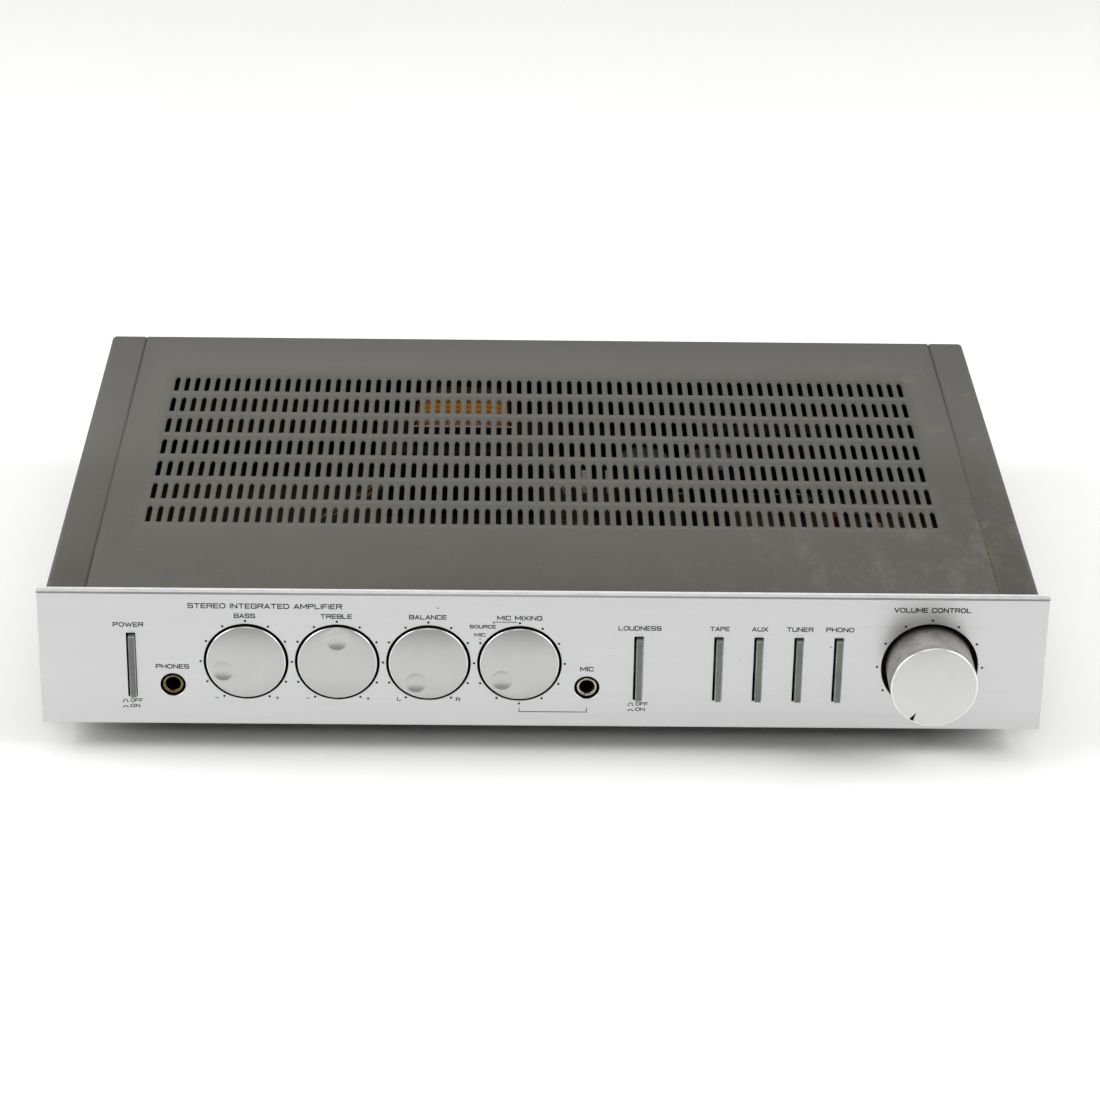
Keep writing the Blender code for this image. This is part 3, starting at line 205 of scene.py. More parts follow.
def turned(bm, profile, centre, axis="Y", steps=48, finish=0):
    """Spins a profile of (radius, distance along the axis) round an axis through centre."""
    known = set(bm.faces)
    way, out = AXES[axis], SIDEWAYS[axis]
    points = [bm.verts.new(centre + out * radius + way * along) for radius, along in profile]
    edges = [bm.edges.new(pair) for pair in zip(points, points[1:])]
    bmesh.ops.spin(bm, geom=points + edges, cent=centre, axis=way, angle=math.tau, steps=steps,
                   use_merge=True)
    made = faces_since(bm, known)
    corners = once_each(vert for face in made for vert in face.verts)
    bmesh.ops.remove_doubles(bm, verts=corners, dist=1e-7)
    made = faces_since(bm, known)
    for face in made:
        face.material_index = finish
    return made


def block(bm, low, high, bevel=0.0, segments=2, finish=0):
    """A box between two corners with rounded edges."""
    low, high = Vector(low), Vector(high)
    place = Matrix.Translation((low + high) / 2) @ Matrix.Diagonal((*(high - low), 1.0))
    verts = bmesh.ops.create_cube(bm, size=1.0, matrix=place)["verts"]
    for face in {face for vert in verts for face in vert.link_faces}:
        face.material_index = finish
    if bevel:
        edges = once_each(edge for vert in verts for edge in vert.link_edges)
        bmesh.ops.bevel(bm, geom=edges, offset=bevel, offset_type="OFFSET", segments=segments,
                        profile=0.5, affect="EDGES", clamp_overlap=True, material=-1)


def block_at(bm, centre, size, bevel=0.0, segments=2, finish=0):
    """A box of a given size about its middle."""
    half = Vector(size) / 2
    block(bm, Vector(centre) - half, Vector(centre) + half, bevel, segments, finish)


def cross(bm, centre, axis, size, lean=0.0, finish=0):
    """Two bars crossed over each other: the recess of a screw's head."""
    for turn in (0.0, math.pi / 2):
        verts = bmesh.ops.create_cube(bm, size=1.0, matrix=Matrix.Translation(centre) @ Matrix.Rotation(
            turn + lean, 4, axis) @ Matrix.Diagonal((*size, 1.0)))["verts"]
        for face in {face for vert in verts for face in vert.link_faces}:
            face.material_index = finish


def ring(bm, centre, radius, steps=96, axis="Y"):
    """A loop of edges, facing along an axis."""
    tilt = {"Y": Matrix.Rotation(math.pi / 2, 4, "X"), "Z": Matrix.Identity(4)}[axis]
    verts = bmesh.ops.create_circle(bm, cap_ends=False, radius=radius, segments=steps,
                                    matrix=Matrix.Translation(centre) @ tilt)["verts"]
    return once_each(edge for vert in verts for edge in vert.link_edges)


def oblong(bm, low, high, y):
    """An upright rectangular loop of edges at depth y, between (x, z) corners."""
    grid = bmesh.ops.create_grid(bm, x_segments=1, y_segments=1, size=0.5)["verts"]
    across, up = high[0] - low[0], high[1] - low[1]
    for vert in grid:
        vert.co = Vector((low[0] + (vert.co.x + 0.5) * across, y, low[1] + (vert.co.y + 0.5) * up))
    face = grid[0].link_faces[0]
    edges = list(face.edges)
    bmesh.ops.delete(bm, geom=[face], context="FACES_ONLY")
    return edges


def bridged(bm, loops, finish=0):
    """Joins each loop of edges to the next one."""
    for first, second in zip(loops, loops[1:]):
        for face in bmesh.ops.bridge_loops(bm, edges=first + second)["faces"]:
            face.material_index = finish


def filled(bm, loops, normal, finish=0):
    """Fills a flat outline, leaving the holes inside it open."""
    made = bmesh.ops.triangle_fill(bm, use_beauty=True, edges=[edge for loop in loops for edge in loop],
                                   normal=normal)["geom"]
    for face in made:
        if isinstance(face, bmesh.types.BMFace):
            face.material_index = finish


def piece(bm, name, finishes, body="chassis", replaces=(), smooth=35.0):
    """Closes a bmesh into an object of the frame: clean, facing outwards, finished and riding."""
    bmesh.ops.remove_doubles(bm, verts=bm.verts, dist=1e-7)
    bmesh.ops.recalc_face_normals(bm, faces=bm.faces)
    mesh = bpy.data.meshes.new(name)
    bm.to_mesh(mesh)
    bm.free()
    return placed(mesh, name, finishes, body, replaces, smooth)


def placed(mesh, name, finishes, body="chassis", replaces=(), smooth=35.0):
    """Gives a mesh its finishes and its place in the frame."""
    if not mesh.polygons:
        raise RuntimeError(f"{name} has no faces")
    mesh.shade_smooth()
    mesh.set_sharp_from_angle(angle=math.radians(smooth))
    for look in finishes:
        mesh.materials.append(finish(look))
    made = bpy.data.objects.new(name, mesh)
    bpy.context.scene.collection.objects.link(made)
    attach(made, body)
    if replaces:
        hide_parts(*replaces)
    return made


def lead(bm, points, radius, finish=0, resolution=6):
    """A bent wire or component leg through the points, as a closed tube."""
    known = set(bm.faces)
    curve = bpy.data.curves.new("lead", "CURVE")
    curve.dimensions = "3D"
    curve.bevel_depth = radius
    curve.bevel_resolution = 1
    curve.resolution_u = resolution
    curve.use_fill_caps = True
    spline = curve.splines.new("BEZIER")
    spline.bezier_points.add(len(points) - 1)
    for knot, point in zip(spline.bezier_points, points):
        knot.co = point
        knot.handle_left_type = knot.handle_right_type = "AUTO"
    holder = bpy.data.objects.new("lead", curve)
    bpy.context.scene.collection.objects.link(holder)
    shape = bpy.data.meshes.new_from_object(holder.evaluated_get(bpy.context.evaluated_depsgraph_get()))
    bm.from_mesh(shape)
    bpy.data.objects.remove(holder)
    bpy.data.curves.remove(curve)
    bpy.data.meshes.remove(shape)
    for face in faces_since(bm, known):
        face.material_index = finish


# a plain engraver's alphabet: width, then strokes through points of an 8 by 8 grid, x before y
ALPHABET = {
    "A": (8, "00 48 80,12 72"), "B": (8, "00 08 78 87 85 74 04,74 83 81 70 00"),
    "C": (8, "86 78 18 07 01 10 70 82"), "D": (8, "00 08 68 86 82 60 00"), "E": (7, "78 08 00 70,04 64"),
    "F": (7, "78 08 00,04 64"), "G": (8, "87 78 18 07 01 10 70 81 84 54"), "H": (8, "00 08,80 88,04 84"),
    "I": (0, "00 08"), "K": (8, "00 08,88 14 80"), "L": (7, "08 00 70"), "M": (8, "00 08 42 88 80"),
    "N": (8, "00 08 80 88"), "O": (8, "20 60 82 86 68 28 06 02 20"), "P": (8, "00 08 78 87 85 74 04"),
    "R": (8, "00 08 78 87 85 74 04,54 80"), "S": (8, "87 78 18 07 05 14 74 83 81 70 10 01"),
    "T": (8, "08 88,48 40"), "U": (8, "08 01 10 70 81 88"), "V": (8, "08 40 88"),
    "W": (8, "08 20 47 60 88"), "X": (8, "00 88,08 80"), "Y": (8, "08 44 88,44 40"), " ": (3, ""),
}
WIDE = {"M": 1.25, "W": 1.5, "O": 1.08}


def lettered(bm, words, centre, width, height, thick=0.36 * MM, across=AXES["X"]):
    """Thin raised lettering of a given overall width and height, each stroke one slim bar of ink."""
    strokes, pen = [], 0.0
    for letter in words:
        span, code = ALPHABET[letter]
        stretch = WIDE.get(letter, 1.0)
        for stroke in filter(None, code.split(",")):
            strokes.append([(pen + int(p[0]) * stretch, int(p[1])) for p in stroke.split()])
        pen += span * stretch + 2.9
    total = pen - 2.9
    wide, tall = (width - thick) / total, (height - thick) / 8
    for points in strokes:
        for (x0, z0), (x1, z1) in zip(points, points[1:]):
            a, b = [(x - total / 2) * wide for x in (x0, x1)], [(z - 4) * tall for z in (z0, z1)]
            length = math.hypot(a[1] - a[0], b[1] - b[0]) + thick * 0.8
            turn = math.atan2(b[1] - b[0], (a[1] - a[0]) * across.x)
            middle_of = Vector(centre) + across * (a[0] + a[1]) / 2 + AXES["Z"] * (b[0] + b[1]) / 2
            bmesh.ops.create_cube(bm, size=1.0, matrix=Matrix.Translation(middle_of) @ Matrix.Rotation(
                -turn, 4, "Y") @ Matrix.Diagonal((length, INK_LIFT, thick, 1.0)))


# ---------------------------------------------------------------- shared finishes

def hex_linear(code):
    """Turns an sRGB hex colour into the linear colour that shaders use."""
    parts = [int(code[i:i + 2], 16) / 255 for i in (0, 2, 4)]
    return tuple(p / 12.92 if p <= 0.04045 else ((p + 0.055) / 1.055) ** 2.4 for p in parts) + (1.0,)


def per(millimetres):
    """The texture scale whose features are about this many millimetres across."""
    return 1.0 / (millimetres * MM)


def add(tree, kind, sockets=None, stops=None, **settings):
    """Adds a node with its settings; sockets take a value or a link, stops are a ramp's colours."""
    made = tree.nodes.new("ShaderNode" + kind)
    for key, value in settings.items():
        setattr(made, key, value)
    for key, value in (sockets or {}).items():
        if isinstance(value, bpy.types.NodeSocket):
            tree.links.new(value, made.inputs[key])
        else:
            made.inputs[key].default_value = value
    if stops:
        points = made.color_ramp.elements
        while len(points) < len(stops):
            points.new(0.5)
        for point, (position, code) in zip(points, stops):
            point.position = position
            point.color = hex_linear(code)
    return made


def new_finish(name, **constants):
    """A material with its shader's constant sockets set; returns it, its tree, shader and coordinates."""
    material = bpy.data.materials.new(name)
    material.use_nodes = True
    tree = material.node_tree
    shader = tree.nodes["Principled BSDF"]
    for key, value in constants.items():
        shader.inputs[key.replace("_", " ")].default_value = value
    place = add(tree, "TexCoord").outputs["Object"]
    return material, tree, shader, place


def join(tree, shader, **outputs):
    """Links outputs to the shader's sockets of those names."""
    for key, output in outputs.items():
        tree.links.new(output, shader.inputs[key.replace("_", " ")])


def brushed_panel(name):
    """Clear-anodised aluminium, brushed lengthwise: long fine hairs, a soft smear, the odd dark pit."""
    material, tree, shader, place = new_finish(
        name, Metallic=1.0, Anisotropic=0.6, Anisotropic_Rotation=0.25)
    # real hairs are 0.05 mm apart and 20 mm long; they are drawn 0.4 mm apart so that they show
    along = add(tree, "Mapping", {"Vector": place, "Scale": (per(26), per(0.4), per(0.4))}).outputs[0]
    hairs = add(tree, "TexNoise", {"Vector": along, "Scale": 1.0, "Detail": 3.0}).outputs[0]
    bands = add(tree, "Mapping", {"Vector": place, "Scale": (per(150), per(3), per(3))}).outputs[0]
    streaks = add(tree, "TexNoise", {"Vector": bands, "Scale": 1.0, "Detail": 2.0}).outputs[0]
    both = add(tree, "Math", {0: hairs, 1: streaks}, operation="MULTIPLY_ADD")
    both.inputs[2].default_value = 0.3
    tint = add(tree, "ValToRGB", {"Fac": both.outputs[0]}, stops=((0.2, "C9CACA"), (0.9, "D1D2D2")))
    pits = add(tree, "TexNoise", {"Vector": place, "Scale": per(2.2), "Detail": 0.0}).outputs[0]
    specks = add(tree, "ValToRGB", {"Fac": pits}, stops=((0.050, "B4B1AA"), (0.070, "FFFFFF"))).outputs[0]
    colour = add(tree, "Mix", {0: 1.0, 6: tint.outputs[0], 7: specks}, data_type="RGBA",
                 blend_type="MULTIPLY").outputs[2]
    rough = add(tree, "MapRange", {"Value": hairs, "To Min": 0.33, "To Max": 0.38}).outputs[0]
    bump = add(tree, "Bump", {"Height": hairs, "Strength": 0.06, "Distance": 0.00005}).outputs[0]
    join(tree, shader, Base_Color=colour, Roughness=rough, Normal=bump)
    return material


def satin(name, dark, light):
    """Fine-blasted clear-anodised aluminium: an even silky face with a faint cloudy tone."""
    material, tree, shader, place = new_finish(name, Metallic=1.0)
    # blasting grit of 0.1 mm, drawn at 0.35 mm so that it shows
    grit = add(tree, "TexNoise", {"Vector": place, "Scale": per(0.35), "Detail": 2.0}).outputs[0]
    cloud = add(tree, "TexNoise", {"Vector": place, "Scale": per(9), "Detail": 3.0}).outputs[0]
    tint = add(tree, "ValToRGB", {"Fac": cloud}, stops=((0.3, dark), (0.7, light))).outputs[0]
    rough = add(tree, "MapRange", {"Value": grit, "To Min": 0.33, "To Max": 0.43}).outputs[0]
    bump = add(tree, "Bump", {"Height": grit, "Strength": 0.05, "Distance": 0.00005}).outputs[0]
    join(tree, shader, Base_Color=tint, Roughness=rough, Normal=bump)
    return material


def cut_edge(name):
    """Diamond-cut aluminium: the bright turned chamfer round a knob."""
    material, tree, shader, place = new_finish(name, Metallic=1.0)
    marks = add(tree, "TexNoise", {"Vector": place, "Scale": per(4), "Detail": 1.0}).outputs[0]
    tint = add(tree, "ValToRGB", {"Fac": marks}, stops=((0.25, "E6E7E9"), (0.6, "F2F2F1"))).outputs[0]
    rough = add(tree, "MapRange", {"Value": marks, "To Min": 0.28, "To Max": 0.31}).outputs[0]
    join(tree, shader, Base_Color=tint, Roughness=rough)
    return material


def worn_knob_side(name):
    """Satin aluminium handled for years: grey film with bright specks where it has worn through."""
    material, tree, shader, place = new_finish(name, Metallic=1.0)
    film = add(tree, "TexNoise", {"Vector": place, "Scale": per(5), "Detail": 5.0, "Roughness": 0.65})
    fine = add(tree, "TexNoise", {"Vector": place, "Scale": per(0.8), "Detail": 3.0}).outputs[0]
    tint = add(tree, "ValToRGB", {"Fac": film.outputs[0]}, stops=((0.3, "9A9793"), (0.7, "BEBBB6")))
    chips = add(tree, "ValToRGB", {"Fac": fine}, stops=((0.66, "000000"), (0.72, "FFFFFF"))).outputs[0]
    colour = add(tree, "Mix", {0: chips, 6: tint.outputs[0], 7: hex_linear("E6E4DE")}, data_type="RGBA")
    rough = add(tree, "MapRange", {"Value": fine, "To Min": 0.42, "To Max": 0.55}).outputs[0]
    join(tree, shader, Base_Color=colour.outputs[2], Roughness=rough)
    return material


def olive_enamel(name):
    """Stoved olive-grey enamel on steel: matt and slightly pebbled, with dust and faint rusty stains, and
    painted shade towards its right end.
    """
    material, tree, shader, place = new_finish(name, IOR=1.5)
    base = colour_of("cover")
    fleck = add(tree, "TexNoise", {"Vector": place, "Scale": per(0.9), "Detail": 3.0}).outputs[0]
    cloud = add(tree, "TexNoise", {"Vector": place, "Scale": per(70), "Detail": 5.0, "Roughness": 0.6})
    shade = add(tree, "MapRange", {"Value": fleck, "From Min": 0.3, "From Max": 0.7,
                                   "To Min": 0.93, "To Max": 1.06}).outputs[0]
    drift = add(tree, "MapRange", {"Value": cloud.outputs[0], "From Min": 0.3, "From Max": 0.7,
                                   "To Min": 0.93, "To Max": 1.07}).outputs[0]
    # painted shade: the enamel is drawn darker towards its right end, where the light on it is weaker
    across, forward, _ = add(tree, "SeparateXYZ", {0: place}).outputs
    painted_right_end_shade = add(tree, "MapRange", {"Value": across, "From Min": -0.22, "From Max": 0.22,
                                    "To Min": 1.08, "To Max": 0.86}).outputs[0]
    even = add(tree, "Math", {0: shade, 1: painted_right_end_shade}, operation="MULTIPLY").outputs[0]
    level = add(tree, "Math", {0: even, 1: drift}, operation="MULTIPLY").outputs[0]
    body = add(tree, "VectorMath", {0: base[:3], "Scale": level}, operation="SCALE").outputs[0]
    # wiped dust gathers in smears some 20 mm long; rusty stains are fewer, near the right and rear
    wiped = add(tree, "Mapping", {"Vector": place, "Scale": (per(14), per(34), per(14)),
                                  "Rotation": (0.0, 0.0, 0.5)}).outputs[0]
    smear = add(tree, "TexNoise", {"Vector": wiped, "Scale": 1.0, "Detail": 9.0, "Roughness": 0.8})
    dust = add(tree, "MapRange", {"Value": smear.outputs[0], "From Min": 0.50, "From Max": 0.72,
                                  "To Min": 0.0, "To Max": 0.27}).outputs[0]
    rightward = add(tree, "MapRange", {"Value": across, "From Min": 0.03, "From Max": 0.17,
                                       "To Min": 0.12, "To Max": 1.0},
                    interpolation_type="SMOOTHSTEP").outputs[0]
    frontward = add(tree, "MapRange", {"Value": forward, "From Min": 0.02, "From Max": -0.10,
                                       "To Min": 0.2, "To Max": 1.0},
                    interpolation_type="SMOOTHSTEP").outputs[0]
    corner = add(tree, "Math", {0: rightward, 1: frontward}, operation="MULTIPLY").outputs[0]
    settled = add(tree, "Math", {0: dust, 1: corner}, operation="MULTIPLY").outputs[0]
    dusty = add(tree, "Mix", {0: settled, 6: body, 7: hex_linear("8C8570")}, data_type="RGBA").outputs[2]
    side = add(tree, "MapRange", {"Value": across, "From Min": 0.12, "From Max": 0.2,
                                  "To Min": 0.0, "To Max": 1.0}).outputs[0]
    rust = add(tree, "TexNoise", {"Vector": place, "Scale": per(17), "Detail": 7.0, "Roughness": 0.7})
    spots = add(tree, "MapRange", {"Value": rust.outputs[0], "From Min": 0.57, "From Max": 0.7,
                                   "To Min": 0.0, "To Max": 0.45}).outputs[0]
    stain = add(tree, "Math", {0: spots, 1: side}, operation="MULTIPLY").outputs[0]
    stained = add(tree, "Mix", {0: stain, 6: dusty, 7: hex_linear("7A6250")}, data_type="RGBA").outputs[2]
    # grime fills the two pressed grooves, 201 mm from the middle, and turns rusty towards the front
    off_centre = add(tree, "Math", {0: across, 1: 0.0}, operation="ABSOLUTE").outputs[0]
    from_groove = add(tree, "Math", {0: off_centre, 1: GROOVE_X}, operation="SUBTRACT").outputs[0]
    near_groove = add(tree, "Math", {0: from_groove, 1: 0.0}, operation="ABSOLUTE").outputs[0]
    in_groove = add(tree, "MapRange", {"Value": near_groove, "From Min": 0.35 * MM, "From Max": 0.85 * MM,
                                       "To Min": 0.55, "To Max": 0.0}).outputs[0]
    crumbs = add(tree, "TexNoise", {"Vector": place, "Scale": per(2.2), "Detail": 4.0}).outputs[0]
    to_front = add(tree, "MapRange", {"Value": forward, "From Min": 0.0, "From Max": -0.13}).outputs[0]
    rusty = add(tree, "Math", {0: to_front, 1: side}, operation="MULTIPLY").outputs[0]
    grime = add(tree, "ValToRGB", {"Fac": crumbs}, stops=((0.35, "4A3A28"), (0.65, "8A7450"))).outputs[0]
    groove_dirt = add(tree, "Mix", {0: rusty, 6: hex_linear("35332E"), 7: grime},
                      data_type="RGBA").outputs[2]
    specks = add(tree, "TexNoise", {"Vector": place, "Scale": per(0.9), "Detail": 0.0}).outputs[0]
    lint = add(tree, "MapRange", {"Value": specks, "From Min": 0.85, "From Max": 0.89,
                                  "To Max": 0.6}).outputs[0]
    linted = add(tree, "Mix", {0: lint, 6: stained, 7: hex_linear("B9B4A4")}, data_type="RGBA").outputs[2]
    colour = add(tree, "Mix", {0: in_groove, 6: linted, 7: groove_dirt}, data_type="RGBA").outputs[2]
    rough = add(tree, "MapRange", {"Value": cloud.outputs[0], "To Min": 0.55, "To Max": 0.7}).outputs[0]
    bump = add(tree, "Bump", {"Height": fleck, "Strength": 0.25, "Distance": 0.0001}).outputs[0]
    join(tree, shader, Base_Color=colour, Roughness=rough, Normal=bump)
    return material


def plastic(name, dark, light, roughness, grain=0.6, bump=0.08, shine=0.5):
    """Moulded plastic: two close tones in a fine spark-eroded grain."""
    material, tree, shader, place = new_finish(name, IOR=1.49, Specular_IOR_Level=shine)
    grit = add(tree, "TexNoise", {"Vector": place, "Scale": per(grain), "Detail": 3.0}).outputs[0]
    drift = add(tree, "TexNoise", {"Vector": place, "Scale": per(12), "Detail": 2.0}).outputs[0]
    both = add(tree, "Math", {0: grit, 1: drift}, operation="ADD").outputs[0]
    tint = add(tree, "ValToRGB", {"Fac": add(tree, "Math", {0: both, 1: 0.5},
                                             operation="MULTIPLY").outputs[0]},
               stops=((0.35, dark), (0.65, light))).outputs[0]
    rough = add(tree, "MapRange", {"Value": drift, "To Min": roughness - 0.05,
                                   "To Max": roughness + 0.05}).outputs[0]
    nap = add(tree, "Bump", {"Height": grit, "Strength": bump, "Distance": 0.0001}).outputs[0]
    join(tree, shader, Base_Color=tint, Roughness=rough, Normal=nap)
    return material


def metal(name, dark, light, rough_low, rough_high, grain=6.0, bump=0.05):
    """Plain or plated metal with a cloudy tarnish."""
    material, tree, shader, place = new_finish(name, Metallic=1.0)
    cloud = add(tree, "TexNoise", {"Vector": place, "Scale": per(grain), "Detail": 5.0,
                                   "Roughness": 0.6}).outputs[0]
    fine = add(tree, "TexNoise", {"Vector": place, "Scale": per(0.7), "Detail": 2.0}).outputs[0]
    tint = add(tree, "ValToRGB", {"Fac": cloud}, stops=((0.3, dark), (0.7, light))).outputs[0]
    rough = add(tree, "MapRange", {"Value": cloud, "From Min": 0.3, "From Max": 0.7,
                                   "To Min": rough_high, "To Max": rough_low}).outputs[0]
    nap = add(tree, "Bump", {"Height": fine, "Strength": bump, "Distance": 0.0001}).outputs[0]
    join(tree, shader, Base_Color=tint, Roughness=rough, Normal=nap)
    return material


def amber_tape(name):
    """Amber polyester winding tape under varnish: glossy, with soft darker bands between turns."""
    material, tree, shader, place = new_finish(name, IOR=1.55,
                                               Coat_Weight=0.5, Coat_Roughness=0.12)
    # tape laid in turns of about 9 mm
    lay = add(tree, "Mapping", {"Vector": place, "Scale": (per(60), per(9), per(9))}).outputs[0]
    turns = add(tree, "TexWave", {"Vector": lay, "Scale": 0.5, "Distortion": 1.2, "Detail": 2.0},
                bands_direction="Y").outputs["Fac"]
    tint = add(tree, "ValToRGB", {"Fac": turns}, stops=((0.1, "A8650F"), (0.8, "D88F23"))).outputs[0]
    shader.inputs["Roughness"].default_value = 0.3
    bump = add(tree, "Bump", {"Height": turns, "Strength": 0.2, "Distance": 0.0003}).outputs[0]
    join(tree, shader, Base_Color=tint, Normal=bump)
    return material


def board_laminate(name):
    """Brown phenolic paper laminate of a printed board: fine fibres under a thin lacquer."""
    material, tree, shader, place = new_finish(name, IOR=1.55)
    fibre = add(tree, "Mapping", {"Vector": place, "Scale": (per(2.5), per(0.7), per(0.7))}).outputs[0]
    paper = add(tree, "TexNoise", {"Vector": fibre, "Scale": 1.0, "Detail": 4.0}).outputs[0]
    tint = add(tree, "ValToRGB", {"Fac": paper}, stops=((0.3, "38271A"), (0.7, "4A3422"))).outputs[0]
    shader.inputs["Roughness"].default_value = 0.42
    join(tree, shader, Base_Color=tint)
    return material


def core_laminations(name):
    """Stacked silicon-steel laminations, varnished: dark plates 0.5 mm thick, drawn 1 mm."""
    material, tree, shader, place = new_finish(name, IOR=1.35)
    stack = add(tree, "Mapping", {"Vector": place, "Scale": (per(200), per(200), per(1.0))}).outputs[0]
    plates = add(tree, "TexNoise", {"Vector": stack, "Scale": 1.0, "Detail": 1.0}).outputs[0]
    rust = add(tree, "TexNoise", {"Vector": place, "Scale": per(7), "Detail": 5.0}).outputs[0]
    tint = add(tree, "ValToRGB", {"Fac": plates}, stops=((0.3, "0D0C0B"), (0.7, "171513"))).outputs[0]
    spots = add(tree, "MapRange", {"Value": rust, "From Min": 0.58, "From Max": 0.7}).outputs[0]
    colour = add(tree, "Mix", {0: spots, 6: tint, 7: hex_linear("241B15")}, data_type="RGBA").outputs[2]
    shader.inputs["Roughness"].default_value = 0.75
    bump = add(tree, "Bump", {"Height": plates, "Strength": 0.5, "Distance": 0.0003}).outputs[0]
    join(tree, shader, Base_Color=colour, Normal=bump)
    return material


# ---------------------------------------------------------------- the finishes by name

# after the maker: two tones, roughness (for a metal, its lowest and highest), then where they differ
# from the usual the size of the grain in millimetres, the strength of the bump, and the shine
LOOKS = {
    "brushed_anodised_aluminium": (brushed_panel,),
    "diamond_cut_aluminium": (cut_edge,),
    "worn_satin_aluminium": (worn_knob_side,),
    "stoved_olive_grey_enamel": (olive_enamel,),
    "varnished_amber_winding_tape": (amber_tape,),
    "phenolic_paper_laminate": (board_laminate,),
    "varnished_core_laminations": (core_laminations,),
    # Fine-blasted clear-anodised aluminium of the discs
    "satin_anodised_discs": (satin, "BBBBBA", "BFBFBE"),
    # The same satin, a little brighter, on the volume knob's face
    "satin_anodised_volume_face": (satin, "C8C8C6", "CCCCCA"),
    # The cover's stoved olive-grey enamel on the rear panel, where nothing has rubbed or soiled it
    "stoved_olive_grey_rear_enamel": (plastic, "45443F", "504F49", 0.62, 0.9, 0.25),
    # Natural acetal of the switch plungers
    "natural_white_acetal": (plastic, "CFCDC6", "DAD8D0", 0.4),
    # Screen-printed white ink for the rear legends
    "white_printing_ink": (plastic, "C8C6BE", "DDDBD4", 0.5, 0.4, 0.0),
    # Painted shade: flat black on hole walls, knob sides, screw recesses and the front subframe, standing in
    # for the shade in the gaps round the controls
    "flat_black_painted_shade": (plastic, "0B0B0B", "141412", 0.6),
    # Grey-green painted ABS: satin, rubbed paler where fingers reach it
    "painted_grey_green_abs": (plastic, "5F645E", "70746E", 0.42, 0.9, 0.05),
    # The same ABS with its paint rubbed thin along the edges
    "rubbed_abs_edge": (plastic, "70746E", "B4B6B0", 0.35, 1.2, 0.05),
    # Black phenolic or ABS moulding
    "black_moulded_abs": (plastic, "141414", "222221", 0.42),
    # Black moulded rubber, dusty grey in its grain
    "black_moulded_rubber": (plastic, "1B1B1A", "2D2C2A", 0.78, 0.9, 0.2),
    # Red moulded polypropylene for the plus levers
    "red_moulded_polypropylene": (plastic, "8E1612", "A52019", 0.38),
    # Ivory moulded nylon
    "ivory_moulded_nylon": (plastic, "CFC9B8", "DDD8C9", 0.4),
    # Dark-red dipped polyester film capacitor
    "dipped_polyester_film": (plastic, "5C1A12", "7C2A1C", 0.3, 2.0),
    # Lacquered carbon-film resistor body
    "beige_resistor_lacquer": (plastic, "B59A6E", "C9B084", 0.35, 1.5),
    # Tan insulation of the mains leads
    "tan_pvc_insulation": (plastic, "9A7A4E", "B59565", 0.35, 2.0, 0.0),
    # Dark grey insulation of the other leads
    "grey_pvc_insulation": (plastic, "24262A", "34373C", 0.35, 2.0, 0.0),
    # Zinc-plated steel sheet, passivated: cloudy grey with a faint spangle
    "zinc_plated_steel": (metal, "77776F", "8C8C84", 0.36, 0.5, 8.0),
    # Dull zinc-coated sheet of the inner frame
    "dull_zinc_sheet": (metal, "5A5A57", "646461", 0.52, 0.62, 14.0),
    # Nickel plating, handled and slightly yellow
    "nickel_plating": (metal, "8F897A", "BDB7A8", 0.16, 0.34, 3.0),
    # Painted reflection: a dull brass tone on the phones bushing, the same plated part as the mic's,
    # standing in for the warmer light it reflects
    "brass_tone_painted_reflection": (metal, "5A5034", "8E8058", 0.2, 0.4, 2.0),
    # Black-oxide steel screw
    "black_oxide_steel": (metal, "1E1E1E", "303030", 0.32, 0.5, 2.0),
    # Black-anodised extruded aluminium
    "black_anodised_aluminium": (metal, "161718", "222324", 0.35, 0.5, 10.0),
    # Black-blue shrink sleeve of a filter capacitor
    "capacitor_shrink_sleeve": (plastic, "14161C", "22252E", 0.3, 3.0, 0.02),
    # Screen-printed ink: near black, thin and slightly broken up, with little shine
    "screen_printing_ink": (plastic, "0C0D0F", "1A1B1D", 0.6, 0.4, 0.0, 0.2),
}
FINISHES = {}


def finish(name):
    """The finish of that name, made once."""
    if name not in FINISHES:
        make, *values = LOOKS[name]
        FINISHES[name] = make(name, *values)
    return FINISHES[name]


# ---------------------------------------------------------------- pieces

